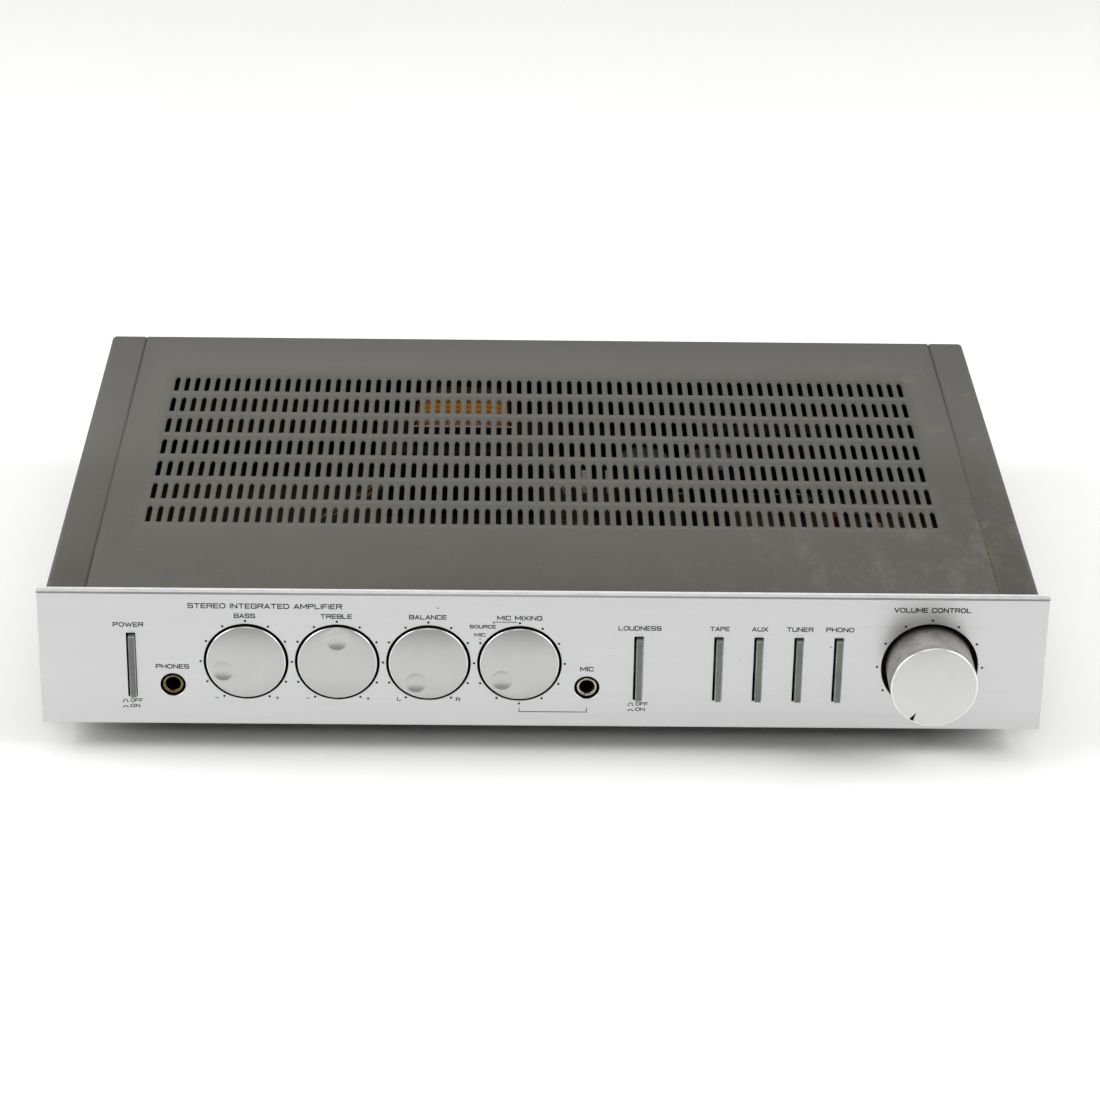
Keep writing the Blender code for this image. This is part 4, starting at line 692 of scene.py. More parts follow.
class MakeFrontPanel(bpy.types.Operator):
    """The brushed panel with its round holes, slots, chamfered rims and grooved top edge"""
    bl_idname = "amplifier.front_panel"
    bl_label = "Front panel"

    def execute(self, context):
        size = sizes()
        bm = bmesh.new()
        # the walls of the holes and slots (finish 1) are drawn flat black: painted shade in the gaps round
        # the controls
        face, wall = 0, 1
        rim = 0.15 * MM
        front, back = [], []

        def bored(node, radius, steps):
            """A round hole round a node, with a chamfered rim."""
            centre = middle(node)
            loops = [ring(bm, Vector((centre.x, y, centre.z)), r, steps) for r, y in (
                (radius + rim, FRONT_Y), (radius, FRONT_Y + rim), (radius, BACK_Y))]
            bridged(bm, loops[:2], face)
            bridged(bm, loops[1:], wall)
            front.append(loops[0])
            back.append(loops[-1])

        for knob in TONE_KNOBS + ("volume",):
            low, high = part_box(knob + "_knob")
            gap = size.volume_gap if knob == "volume" else size.disc_gap
            bored(knob + "_knob", (high.x - low.x) / 2 + gap, 96)
        for jack in ("phones", "mic"):
            bored(jack + "_jack", JACK_BUSHING + size.jack_gap, 48)
        for button in BUTTONS:
            centre = middle(button + "_button")
            low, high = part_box(button + "_button")
            half = Vector((BAR_HALF + size.slot_gap, (high.z - low.z) / 2 + size.slot_gap))
            loops = []
            for grow, y in ((rim * 0.6, FRONT_Y), (0.0, FRONT_Y + rim), (0.0, BACK_Y)):
                low_corner = (centre.x - half.x - grow, centre.z - half.y - grow)
                high_corner = (centre.x + half.x + grow, centre.z + half.y + grow)
                loops.append(oblong(bm, low_corner, high_corner, y))
            bridged(bm, loops[:2], face)
            bridged(bm, loops[1:], wall)
            front.append(loops[0])
            back.append(loops[-1])
        # the edge, from the front: chamfer, bright front band, groove, rear band;
        # each step is its depth and how far it is set in at the sides, top and bottom, in millimetres
        steps = ((0.0, 0.5, 0.8, 0.35), (0.5, 0.1, 0.25, 0.0), (0.7, 0.0, 0.1, 0.0), (2.3, 0.0, 0.0, 0.0),
                 (2.45, 0.0, 0.35, 0.0), (2.8, 0.0, 0.35, 0.0), (2.95, 0.0, 0.0, 0.0),
                 (4.7, 0.0, 0.0, 0.0), (5.0, 0.3, 0.3, 0.3))
        rails = [oblong(bm, (PANEL_LOW.x + side * MM, PANEL_LOW.z + bottom * MM),
                        (PANEL_HIGH.x - side * MM, PANEL_HIGH.z - top * MM), FRONT_Y + depth * MM)
                 for depth, side, top, bottom in steps]
        bridged(bm, rails[:2], face)
        bridged(bm, rails[1:], 2)
        filled(bm, front + [rails[0]], (0, -1, 0), face)
        filled(bm, back + [rails[-1]], (0, 1, 0), face)
        piece(bm, "panel_face", ["brushed_anodised_aluminium", "flat_black_painted_shade",
                                 "diamond_cut_aluminium"], "chassis",
              ("front_panel",), smooth=20)
        return {"FINISHED"}


class MakeLegends(bpy.types.Operator):
    """Printed dots, brackets and plain control names on the panel"""
    bl_idname = "amplifier.legends"
    bl_label = "Printed legends"

    def execute(self, context):
        bm = bmesh.new()
        dot = sizes().dot_size / 2

        def dot_at(x, z):
            """A flat dot of ink."""
            bmesh.ops.create_cone(
                bm, cap_ends=True, segments=14, radius1=dot, radius2=dot, depth=INK_LIFT,
                matrix=Matrix.Translation((x, FRONT_Y - INK_LIFT, z)) @ Matrix.Rotation(math.pi / 2, 4, "X"))

        def dots_round(node, radius, angles):
            """Dots round a knob, at degrees clockwise from upright."""
            centre = middle(node)
            for angle in angles:
                a = math.radians(angle)
                dot_at(centre.x + radius * math.sin(a), centre.z + radius * math.cos(a))

        # a dot every 30 degrees, but for the angles left out, then the angles added
        scales = {knob: ((90,), ()) for knob in TONE_KNOBS}
        scales["mic_mixing"] = ((-30, 90), (90, 180))
        for knob, (left_out, added) in scales.items():
            angles = [a for a in range(-150, 151, 30) if a not in left_out] + list(added)
            dots_round(knob + "_knob", SCALE_RADIUS, angles)
        dots_round("volume_knob", VOLUME_SCALE_RADIUS, range(-150, 151, 30))

        def line(x0, z0, x1, z1, thick=0.34):
            """A straight printed line, in millimetres on the panel."""
            low = on_panel(min(x0, x1) - thick / 2, min(z0, z1) - thick / 2)
            high = on_panel(max(x0, x1) + thick / 2, max(z0, z1) + thick / 2)
            block(bm, (low.x, FRONT_Y - 1.5 * INK_LIFT, low.z), (high.x, FRONT_Y - 0.5 * INK_LIFT, high.z))

        def words(text, x, z, width, height=2.25):
            """Printed words about a place, in millimetres on the panel."""
            lettered(bm, text, on_panel(x, z) - Vector((0, INK_LIFT, 0)), width * MM, height * MM,
                     (0.46 if height > 2.3 else 0.43 if height > 2 else 0.36) * MM)

        knob_x = {name: middle(name + "_knob").x / MM for name in TONE_KNOBS + ("volume",)}
        button_x = {name: middle(name + "_button").x / MM for name in BUTTONS}
        words("STEREO INTEGRATED AMPLIFIER", -121.1, 58.35, 67.0, 2.5)
        for name, width in (("bass", 9.3), ("treble", 13.7), ("balance", 16.4)):
            words(name.upper(), knob_x[name] - 0.2, 53.6, width)
        words("MIC MIXING", knob_x["mic_mixing"] - 0.1, 53.5, 19.7)
        words("SOURCE", -26.5, 49.2, 11.4, 1.75)
        words("MIC", -27.75, 45.2, 4.9, 1.75)
        words("MIC", 19.2, 28.7, 6.0)
        words("PHONES", -162.0, 28.5, 14.6)
        words("POWER", -180.6, 48.9, 13.3)
        words("LOUDNESS", 41.9, 49.0, 18.8)
        for name, width in (("tape", 8.6), ("aux", 7.1), ("tuner", 11.7), ("phono", 12.3)):
            words(name.upper(), button_x[name] + 0.2, 49.0, width)
        words("VOLUME CONTROL", 169.0, 58.9, 33.6, 2.4)
        for x in (-178.2, 43.6):
            words("OFF", x, 11.6, 5.5, 1.75)
            words("ON", x - 0.7, 8.9, 4.3, 1.75)
            out = x - 4.9
            for level, tall in ((10.8, 1.2), (8.2, 0.5)):   # a bar that stands out, and one pressed in
                line(out - 1.3, level, out - 0.7, level)
                line(out + 0.7, level, out + 1.3, level)
                line(out - 0.7, level, out - 0.7, level + tall)
                line(out + 0.7, level, out + 0.7, level + tall)
                line(out - 0.7, level + tall, out + 0.7, level + tall)
        for name in ("bass", "treble"):
            line(knob_x[name] - 13.8, 13.2, knob_x[name] - 12.6, 13.2)
            line(knob_x[name] + 12.7, 13.2, knob_x[name] + 13.9, 13.2)
            line(knob_x[name] + 13.3, 12.6, knob_x[name] + 13.3, 13.8)
        words("L", knob_x["balance"] - 12.9, 13.2, 1.7, 1.9)
        words("R", knob_x["balance"] + 13.0, 13.2, 1.9, 1.9)
        # bracket from the mixing scale to SOURCE, tick under MIC, and bracket from the scale to the jack
        line(-21.9, 51.5, -11.8, 51.5)
        line(-21.9, 50.7, -21.9, 51.5)
        line(-27.7, 42.8, -27.7, 43.5)
        line(-10.4, 7.3, 19.3, 7.3)
        line(-10.4, 7.3, -10.4, 9.2)
        line(19.3, 7.3, 19.3, 9.2)
        piece(bm, "panel_legends", ["screen_printing_ink"], "chassis")
        return {"FINISHED"}


class MakeCover(bpy.types.Operator):
    """The folded steel cover with its field of slots, two pressed grooves and rounded bends"""
    bl_idname = "amplifier.cover"
    bl_label = "Cover"

    def execute(self, context):
        size = sizes()
        bm = bmesh.new()
        top = COVER_HIGH.z
        columns, rows = VENT_COLUMNS, VENT_ROWS
        pitch, row_pitch = size.vent_pitch, size.vent_row_pitch
        field_y = FRONT_Y + VENTS_BACK
        # one cell of the field: a frame of sheet round one slot
        cell = bmesh.ops.create_grid(bm, x_segments=1, y_segments=1, size=0.5)["verts"]
        corner = Vector((-columns * pitch / 2, field_y - rows * row_pitch / 2, top))
        for vert in cell:
            vert.co = corner + Vector(((vert.co.x + 0.5) * pitch, (vert.co.y + 0.5) * row_pitch, 0.0))
        face = cell[0].link_faces[0]
        frame_edges = list(face.edges)
        centre = face.calc_center_median()
        bmesh.ops.delete(bm, geom=[face], context="FACES_ONLY")
        hole = self.slot(bm, centre, size.vent_width / 2, size.vent_length / 2)
        filled(bm, [frame_edges, hole], (0, 0, 1))
        geom = list(bm.verts) + list(bm.edges) + list(bm.faces)
        for column in range(1, columns):
            copy = bmesh.ops.duplicate(bm, geom=geom)["geom"]
            bmesh.ops.translate(bm, vec=(column * pitch, 0, 0),
                                verts=[g for g in copy if isinstance(g, bmesh.types.BMVert)])
        geom = list(bm.verts) + list(bm.edges) + list(bm.faces)
        for row in range(1, rows):
            copy = bmesh.ops.duplicate(bm, geom=geom)["geom"]
            bmesh.ops.translate(bm, vec=(0, row * row_pitch, 0),
                                verts=[g for g in copy if isinstance(g, bmesh.types.BMVert)])
        bmesh.ops.remove_doubles(bm, verts=bm.verts, dist=1e-6)
        far = corner + Vector((columns * pitch, rows * row_pitch, 0.0))
        border = [edge for edge in bm.edges if edge.is_boundary and all(
            min(abs(v.co.x - corner.x), abs(v.co.x - far.x), abs(v.co.y - corner.y),
                abs(v.co.y - far.y)) < 1e-6 for v in edge.verts)]
        # the flat top runs to the two grooves; beyond them the sheet is drawn out, bent and drawn down
        groove, groove_half, groove_sink = GROOVE_X, 0.8 * MM, 0.7 * MM
        bend = 2.5 * MM
        flat = groove - groove_half
        outline = bmesh.ops.create_grid(bm, x_segments=1, y_segments=1, size=0.5)["verts"]
        depth = COVER_HIGH.y - COVER_LOW.y
        for vert in outline:
            vert.co = Vector((vert.co.x * 2 * flat, COVER_LOW.y + (vert.co.y + 0.5) * depth, top))
        face = outline[0].link_faces[0]
        rim = list(face.edges)
        bmesh.ops.delete(bm, geom=[face], context="FACES_ONLY")
        filled(bm, [border, rim], (0, 0, 1))
        for side in (-1, 1):
            edges = [e for e in rim if all(v.co.x * side > flat - 1e-6 for v in e.verts)]
            path = [(groove, top - groove_sink), (groove + groove_half, top)]
            turn_x, turn_z = COVER_HIGH.x - bend, top - bend
            path += [(turn_x + bend * math.sin(a), turn_z + bend * math.cos(a))
                     for a in (math.pi / 2 * step / 6 for step in range(7))]
            path += [(COVER_HIGH.x, COVER_LOW.z)]
            for x, z in path:
                made = bmesh.ops.extrude_edge_only(bm, edges=edges)["geom"]
                verts = [g for g in made if isinstance(g, bmesh.types.BMVert)]
                for vert in verts:
                    vert.co.x, vert.co.z = side * x, z
                edges = [e for e in verts[0].link_edges if e.other_vert(verts[0]) in verts]
        bmesh.ops.remove_doubles(bm, verts=bm.verts, dist=1e-6)
        bmesh.ops.recalc_face_normals(bm, faces=bm.faces)
        up = sum(face.normal.z * face.calc_area() for face in bm.faces)
        if up < 0:
            bmesh.ops.reverse_faces(bm, faces=bm.faces)
        mesh = bpy.data.meshes.new("cover_shell")
        bm.to_mesh(mesh)
        bm.free()
        shell = placed(mesh, "cover_shell", ["stoved_olive_grey_enamel"], "chassis",
                       ("top_cover",), smooth=25)
        sheet = shell.modifiers.new("sheet", "SOLIDIFY")
        sheet.thickness = size.sheet
        sheet.offset = -1.0
        return {"FINISHED"}

    def slot(self, bm, centre, half, reach):
        """A slot's outline: small round corners at the front, a blunt point at the rear."""
        corner, taper = 0.45 * MM, 2.1 * MM
        quarter = [math.pi / 6 * step for step in range(4)]
        right = [(half - corner + corner * math.sin(a), corner - reach - corner * math.cos(a))
                 for a in quarter]
        right += [(half, reach - taper), (0.3 * half, reach)]
        points = right + [(-x, y) for x, y in reversed(right)]
        verts = [bm.verts.new(centre + Vector((x, y, 0.0))) for x, y in points]
        return [bm.edges.new(pair) for pair in zip(verts, verts[1:] + verts[:1])]


class MakeToneKnobs(bpy.types.Operator):
    """The four flush disc knobs, each with a finger dimple and a bright cut edge"""
    bl_idname = "amplifier.tone_knobs"
    bl_label = "Tone knobs"

    def execute(self, context):
        size = sizes()
        for name, angle in DIMPLE_ANGLES.items():
            bm = bmesh.new()
            low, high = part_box(name + "_knob")
            centre = middle(name + "_knob")
            radius = (high.x - low.x) / 2
            face_y = low.y
            axis = Vector((centre.x, face_y, centre.z))
            skirt = FRONT_Y + 7.0 * MM - face_y
            # cut edge, then the side back to the skirt and the hub behind it, both drawn flat black as
            # painted shade in the gap
            turned(bm, ((radius - 0.42 * MM, 0.0), (radius - 0.16 * MM, 0.14 * MM),
                        (radius - 0.04 * MM, 0.36 * MM)),
                   axis, steps=128, finish=1)
            turned(bm, ((radius - 0.04 * MM, 0.36 * MM), (radius, 0.5 * MM), (radius, skirt - 0.3 * MM),
                        (radius - 0.3 * MM, skirt), (HUB_RADIUS, skirt), (HUB_RADIUS, high.y - face_y),
                        (0.0, high.y - face_y)), axis, steps=128, finish=2)
            a = math.radians(angle)
            seat = axis + Vector((math.sin(a), 0.0, math.cos(a))) * DIMPLE_FROM_MIDDLE
            r, sink = size.dimple_radius, size.dimple_sink
            ball = (r * r + sink * sink) / (2 * sink)
            edge = math.asin(r / ball)
            bowl = [(r + 0.3 * MM, 0.0), (r + 0.1 * MM, 0.02 * MM)]
            bowl += [(ball * math.sin(edge * k / 12),
                      sink - ball * (1 - math.cos(edge * k / 12)) + 0.05 * MM)
                     for k in range(12, -1, -1)]
            turned(bm, bowl, seat, steps=64, finish=0)
            bmesh.ops.remove_doubles(bm, verts=bm.verts, dist=1e-7)
            open_edges = [e for e in bm.edges if e.is_boundary and all(
                abs(v.co.y - face_y) < 1e-7 for v in e.verts)]
            filled(bm, [open_edges], (0, -1, 0), 0)
            piece(bm, name + "_disc",
                  ["satin_anodised_discs", "diamond_cut_aluminium", "flat_black_painted_shade"],
                  name + "_control", (name + "_knob",), smooth=40)
        return {"FINISHED"}


class MakeVolumeKnob(bpy.types.Operator):
    """The tall volume knob with its cut edge, worn side and milled pointer notch"""
    bl_idname = "amplifier.volume_knob"
    bl_label = "Volume knob"

    def execute(self, context):
        bm = bmesh.new()
        low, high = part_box("volume_knob")
        centre = middle("volume_knob")
        radius = (high.x - low.x) / 2
        axis = Vector((centre.x, low.y, centre.z))
        skirt = FRONT_Y + 3.5 * MM - low.y
        back = high.y - low.y
        steps = 180
        a = math.radians(POINTER_ANGLE)
        out = Vector((math.sin(a), 0.0, math.cos(a)))
        across = Vector((out.z, 0.0, -out.x))
        turned(bm, ((radius - 0.6 * MM, 0.0), (radius - 0.3 * MM, 0.08 * MM), (radius - 0.1 * MM, 0.27 * MM),
                    (radius - 0.05 * MM, 0.55 * MM)), axis, steps=steps, finish=1)
        turned(bm, ((radius - 0.05 * MM, 0.55 * MM), (radius, 0.7 * MM), (radius, skirt - 0.4 * MM),
                    (radius - 0.4 * MM, skirt), (HUB_RADIUS, skirt), (HUB_RADIUS, back), (0.0, back)),
               axis, steps=steps, finish=2)
        bmesh.ops.remove_doubles(bm, verts=bm.verts, dist=1e-7)
        rim = [e for e in bm.edges if e.is_boundary and all(abs(v.co.y - low.y) < 1e-7 for v in e.verts)]
        # the notch: a narrow wedge milled in from the rim, its floor deepest at the edge
        tip = axis + out * (radius - 4.9 * MM)
        mouth = axis + out * (radius - 0.62 * MM)
        half, sink = 1.0 * MM, 0.5 * MM
        corners = [tip, mouth - across * half, mouth + across * half]
        verts = [bm.verts.new(corner) for corner in corners]
        notch = [bm.edges.new((verts[i], verts[(i + 1) % 3])) for i in range(3)]
        filled(bm, [rim, notch], (0, -1, 0), 0)
        floor = bm.verts.new(mouth + Vector((0.0, sink, 0.0)))
        for i in range(3):
            made = bm.faces.new((verts[i], verts[(i + 1) % 3], floor))
            made.material_index = 3
        piece(bm, "volume_barrel",
              ["satin_anodised_volume_face", "diamond_cut_aluminium", "worn_satin_aluminium",
               "diamond_cut_aluminium"],
              "volume_control", ("volume_knob",), smooth=40)
        return {"FINISHED"}


class MakeButtons(bpy.types.Operator):
    """Six slim push bars with rubbed edges, each on its plunger"""
    bl_idname = "amplifier.buttons"
    bl_label = "Push buttons"

    def execute(self, context):
        for name in BUTTONS:
            bm = bmesh.new()
            low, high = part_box(name + "_button")
            centre = middle(name + "_button")
            # the slack bars hang low and to the right in their slots
            right, drop = 0.4 * MM, 0.45 * MM
            block(bm, (centre.x - BAR_HALF + right, low.y, low.z - drop),
                  (centre.x + BAR_HALF + right, FRONT_Y + 7.4 * MM, high.z - drop),
                  bevel=0.28 * MM, segments=2, finish=0)
            for face in bm.faces:
                slope = max(abs(c) for c in face.normal)
                if slope < 0.985 and face.calc_center_median().y < low.y + 0.5 * MM:
                    face.material_index = 1
            block(bm, (low.x, FRONT_Y + 7.0 * MM, centre.z - 6.0 * MM),
                  (high.x, high.y, centre.z + 6.0 * MM),
                  bevel=0.4 * MM, segments=2, finish=0)
            piece(bm, name + "_bar", ["painted_grey_green_abs", "rubbed_abs_edge"],
                  name + "_push", (name + "_button",), smooth=50)
        return {"FINISHED"}


class MakeJacks(bpy.types.Operator):
    """Phones and microphone jacks: plated bushing, real bore and moulded body"""
    bl_idname = "amplifier.jacks"
    bl_label = "Jacks"

    def execute(self, context):
        for name in ("phones", "mic"):
            bm = bmesh.new()
            low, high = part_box(name + "_jack")
            centre = middle(name + "_jack")
            axis = Vector((centre.x, low.y, centre.z))
            bore, outer = JACK_BORE, JACK_BUSHING
            back = 10.4 * MM
            turned(bm, ((bore, back), (bore, 0.75 * MM), (bore + 0.08 * MM, 0.45 * MM),
                        (bore + 0.3 * MM, 0.2 * MM), (bore + 0.55 * MM, 0.06 * MM), (bore + 0.75 * MM, 0.0),
                        (outer - 0.4 * MM, 0.04 * MM), (outer - 0.15 * MM, 0.2 * MM), (outer, 0.5 * MM),
                        (outer, back)), axis, steps=64, finish=0)
            end = high.y - low.y
            turned(bm, ((outer, back), (7.6 * MM, back), (7.6 * MM, end), (0.0, end)),
                   axis, steps=4, finish=1)
            turned(bm, ((bore, back), (bore, 33.9 * MM), (0.0, 33.9 * MM)), axis, steps=64, finish=1)
            # the phones bushing is drawn brass-toned as painted reflection; in the object both bushings are
            # alike
            plating = "nickel_plating" if name == "mic" else "brass_tone_painted_reflection"
            piece(bm, name + "_socket", [plating, "black_moulded_abs"],
                  "chassis", (name + "_jack",))
        return {"FINISHED"}


class MakeFeet(bpy.types.Operator):
    """Four rubber feet with a recessed fixing screw"""
    bl_idname = "amplifier.feet"
    bl_label = "Feet"

    def execute(self, context):
        for corner in CORNERS:
            bm = bmesh.new()
            low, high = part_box("foot_" + corner)
            centre = middle("foot_" + corner)
            axis = Vector((centre.x, centre.y, low.z))
            tall = high.z - low.z
            top_r, bottom_r, recess = (high.x - low.x) / 2, 12.0 * MM, 5.5 * MM
            turned(bm, ((0.0, 6.0 * MM), (recess - 0.4 * MM, 6.0 * MM), (recess, 5.6 * MM),
                        (recess, 0.6 * MM), (recess + 0.6 * MM, 0.0), (bottom_r - 1.2 * MM, 0.0),
                        (bottom_r - 0.35 * MM, 0.35 * MM), (bottom_r, 1.2 * MM),
                        (top_r - 0.15 * MM, tall - 1.0 * MM), (top_r - 0.6 * MM, tall), (0.0, tall)),
                   axis, axis="Z", steps=56, finish=0)
            turned(bm, ((0.0, 3.4 * MM), (2.6 * MM, 3.6 * MM), (3.6 * MM, 4.4 * MM), (3.7 * MM, 6.05 * MM),
                        (0.0, 6.05 * MM)), axis, axis="Z", steps=24, finish=1)
            # the screw's cross recess is drawn flat black: painted shade
            cross(bm, axis + Vector((0, 0, 3.6 * MM)), "Z", (3.6 * MM, 0.7 * MM, 0.5 * MM), finish=2)
            piece(bm, "rubber_foot_" + corner,
                  ["black_moulded_rubber", "zinc_plated_steel", "flat_black_painted_shade"],
                  "chassis", ("foot_" + corner,))
        return {"FINISHED"}


class MakeCoverScrews(bpy.types.Operator):
    """Four domed cross-head screws that hold the cover's sides"""
    bl_idname = "amplifier.cover_screws"
    bl_label = "Cover screws"

    def execute(self, context):
        for corner in CORNERS:
            bm = bmesh.new()
            low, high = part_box("cover_screw_" + corner)
            centre = middle("cover_screw_" + corner)
            side = -1 if corner.endswith("left") else 1
            outer = low.x if side < 0 else high.x
            inner = high.x if side < 0 else low.x
            seat = outer - side * 1.0 * MM
            axis = Vector((0.0, centre.y, centre.z))
            r = (high.y - low.y) / 2
            turned(bm, ((0.0, outer), (r * 0.45, outer - side * 0.08 * MM),
                        (r * 0.8, outer - side * 0.35 * MM),
                        (r, seat + side * 0.15 * MM), (r, seat), (1.5 * MM, seat), (1.5 * MM, inner),
                        (0.0, inner)), axis, axis="X", steps=32, finish=0)
            # the screw's cross recess is drawn flat black: painted shade
            cross(bm, (outer - side * 0.3 * MM, centre.y, centre.z), "X", (0.62 * MM, 3.0 * MM, 0.6 * MM),
                  lean=0.4, finish=1)
            piece(bm, "side_screw_" + corner, ["black_oxide_steel", "flat_black_painted_shade"],
                  "chassis", ("cover_screw_" + corner,))
        return {"FINISHED"}


class MakeRearTerminals(bpy.types.Operator):
    """Phono sockets, spring speaker terminals, earth screw, mains gland and rear legends"""
    bl_idname = "amplifier.rear_terminals"
    bl_label = "Rear terminals"

    def execute(self, context):
        self.sockets()
        self.levers()
        self.earth_and_gland()
        self.rear_legends()
        return {"FINISHED"}

    def sockets(self):
        """Two rows of five phono sockets in one moulded block."""
        bm = bmesh.new()
        low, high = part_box("input_socket_block")
        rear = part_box("rear_panel")[1].y
        centre = middle("input_socket_block")
        block(bm, (low.x, low.y, low.z), (high.x, rear - 1.3 * MM, high.z), bevel=0.6 * MM, finish=0)
        for column in range(5):
            for row in range(2):
                axis = Vector((centre.x + (column - 2) * SOCKET_PITCH, rear,
                               centre.z + (row - 0.5) * 17 * MM))
                turned(bm, ((4.1 * MM, -1.4 * MM), (4.1 * MM, 8.7 * MM), (3.9 * MM, 9.0 * MM),
                            (3.55 * MM, 9.0 * MM), (3.4 * MM, 8.7 * MM), (3.4 * MM, 1.5 * MM)),
                       axis, steps=36, finish=1)
                turned(bm, ((3.4 * MM, 1.5 * MM), (3.3 * MM, 7.6 * MM), (1.6 * MM, 7.9 * MM),
                            (1.6 * MM, 0.5 * MM), (0.0, 0.5 * MM)), axis, steps=36, finish=2 + row)
                turned(bm, ((4.1 * MM, 0.9 * MM), (5.6 * MM, 0.9 * MM), (5.8 * MM, 0.6 * MM),
                            (5.8 * MM, 0.05 * MM), (4.1 * MM, 0.05 * MM)), axis, steps=36, finish=0)
        piece(bm, "phono_sockets", ["black_moulded_abs", "nickel_plating", "red_moulded_polypropylene",
                                    "ivory_moulded_nylon"],
              "chassis", ("input_socket_block",))

    def levers(self):
        """The sprung levers: a hinge barrel, a plate, a finger ledge and three ribs."""
        for name in LEVERS:
            bm = bmesh.new()
            low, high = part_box("speaker_lever_" + name)
            barrel = 1.6 * MM
            axis = Vector((0.0, low.y + barrel, low.z + barrel))
            turned(bm, ((0.0, low.x), (barrel, low.x), (barrel, high.x), (0.0, high.x)), axis, axis="X",
                   steps=24)
            block(bm, (low.x, low.y + 0.2 * MM, low.z + barrel), (high.x, low.y + 3.0 * MM, high.z),
                  bevel=0.5 * MM, segments=3)
            block(bm, (low.x, low.y + 1.4 * MM, high.z - 2.5 * MM), (high.x, high.y, high.z),
                  bevel=0.5 * MM, segments=3)
            for rib in range(3):
                z = high.z - 4.2 * MM - rib * 1.1 * MM
                block(bm, (low.x + 1.2 * MM, low.y + 2.7 * MM, z - 0.2 * MM),
                      (high.x - 1.2 * MM, low.y + 3.3 * MM, z + 0.2 * MM), bevel=0.15 * MM)
            plus = name.endswith("plus")
            piece(bm, "spring_lever_" + name, ["red_moulded_polypropylene" if plus else "black_moulded_abs"],
                  "speaker_" + name, ("speaker_lever_" + name,))

    def earth_and_gland(self):
        """The knurled earth screw, and the gland of the mains cord."""
        bm = bmesh.new()
        low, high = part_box("ground_screw")
        centre = middle("ground_screw")
        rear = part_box("rear_panel")[1].y
        tip = high.y - rear
        axis = Vector((centre.x, rear, centre.z))
        turned(bm, ((0.0, low.y - rear), (2.0 * MM, low.y - rear), (2.0 * MM, 0.1 * MM),
                    (4.5 * MM, 0.1 * MM),
                    (4.5 * MM, 1.6 * MM), (3.2 * MM, 2.2 * MM), (3.2 * MM, 3.0 * MM), (4.8 * MM, 3.4 * MM),
                    (5.0 * MM, 3.8 * MM), (5.0 * MM, tip - 0.5 * MM), (4.6 * MM, tip), (1.9 * MM, tip),
                    (1.7 * MM, tip - 0.4 * MM), (0.0, tip - 0.4 * MM)), axis, steps=KNURLS)
        for k in range(KNURLS):
            a = math.tau * k / KNURLS
            out = Vector((math.cos(a) * 4.95 * MM, (3.8 * MM + tip) / 2, math.sin(a) * 4.95 * MM))
            block_at(bm, axis + out,
                     (0.28 * MM, tip - 4.9 * MM, 0.28 * MM))
        piece(bm, "earth_screw", ["nickel_plating"], "chassis", ("ground_screw",))
        bm = bmesh.new()
        low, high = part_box("mains_gland")
        centre = middle("mains_gland")
        axis = Vector((centre.x, rear, centre.z))
        tip = high.y - rear
        wide = (high.x - low.x) / 2
        turned(bm, ((3.8 * MM, low.y - rear), (6.5 * MM, low.y - rear), (6.5 * MM, 0.05 * MM),
                    (wide, 0.05 * MM),
                    (wide, 1.5 * MM), (wide - 0.5 * MM, 2.0 * MM), (6.7 * MM, 2.0 * MM),
                    (6.3 * MM, tip - 0.8 * MM), (5.6 * MM, tip), (4.2 * MM, tip), (3.8 * MM, tip - 0.4 * MM),
                    (3.8 * MM, low.y - rear)), axis, steps=48)
        # a thin web closes the empty cord way
        turned(bm, ((0.0, low.y - rear + 0.2 * MM), (3.9 * MM, low.y - rear + 0.2 * MM),
                    (3.9 * MM, low.y - rear + 0.9 * MM), (0.0, low.y - rear + 0.9 * MM)), axis, steps=48)
        piece(bm, "cord_gland", ["black_moulded_abs"], "chassis", ("mains_gland",))

    def rear_legends(self):
        """Plain names and polarity signs printed on the rear."""
        bm = bmesh.new()
        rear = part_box("rear_panel")[1].y + INK_LIFT
        block_x = middle("input_socket_block")
        names = ("PHONO", "TUNER", "AUX", "PLAY", "REC")
        for column, name in enumerate(names):
            x = block_x.x + (2 - column) * SOCKET_PITCH
            lettered(bm, name, Vector((x, rear, block_x.z + 17.5 * MM)), 2.3 * len(name) * MM, 1.8 * MM,
                     0.3 * MM, -AXES["X"])
        speakers = middle("speaker_terminal_block")
        lettered(bm, "SPEAKERS", Vector((speakers.x, rear, speakers.z + 17.5 * MM)), 20 * MM, 2.0 * MM,
                 0.3 * MM, -AXES["X"])
        for name in LEVERS:
            x = middle("speaker_lever_" + name).x
            z = speakers.z - 16.5 * MM
            block_at(bm, (x, rear, z), (2.4 * MM, INK_LIFT, 0.5 * MM))
            if name.endswith("plus"):
                block_at(bm, (x, rear + INK_LIFT, z), (0.5 * MM, INK_LIFT, 2.4 * MM))
        earth = middle("ground_screw")
        lettered(bm, "GND", Vector((earth.x, rear, earth.z - 9.0 * MM)), 7 * MM, 1.8 * MM,
                 0.3 * MM, -AXES["X"])
        piece(bm, "rear_legends", ["white_printing_ink"], "chassis")


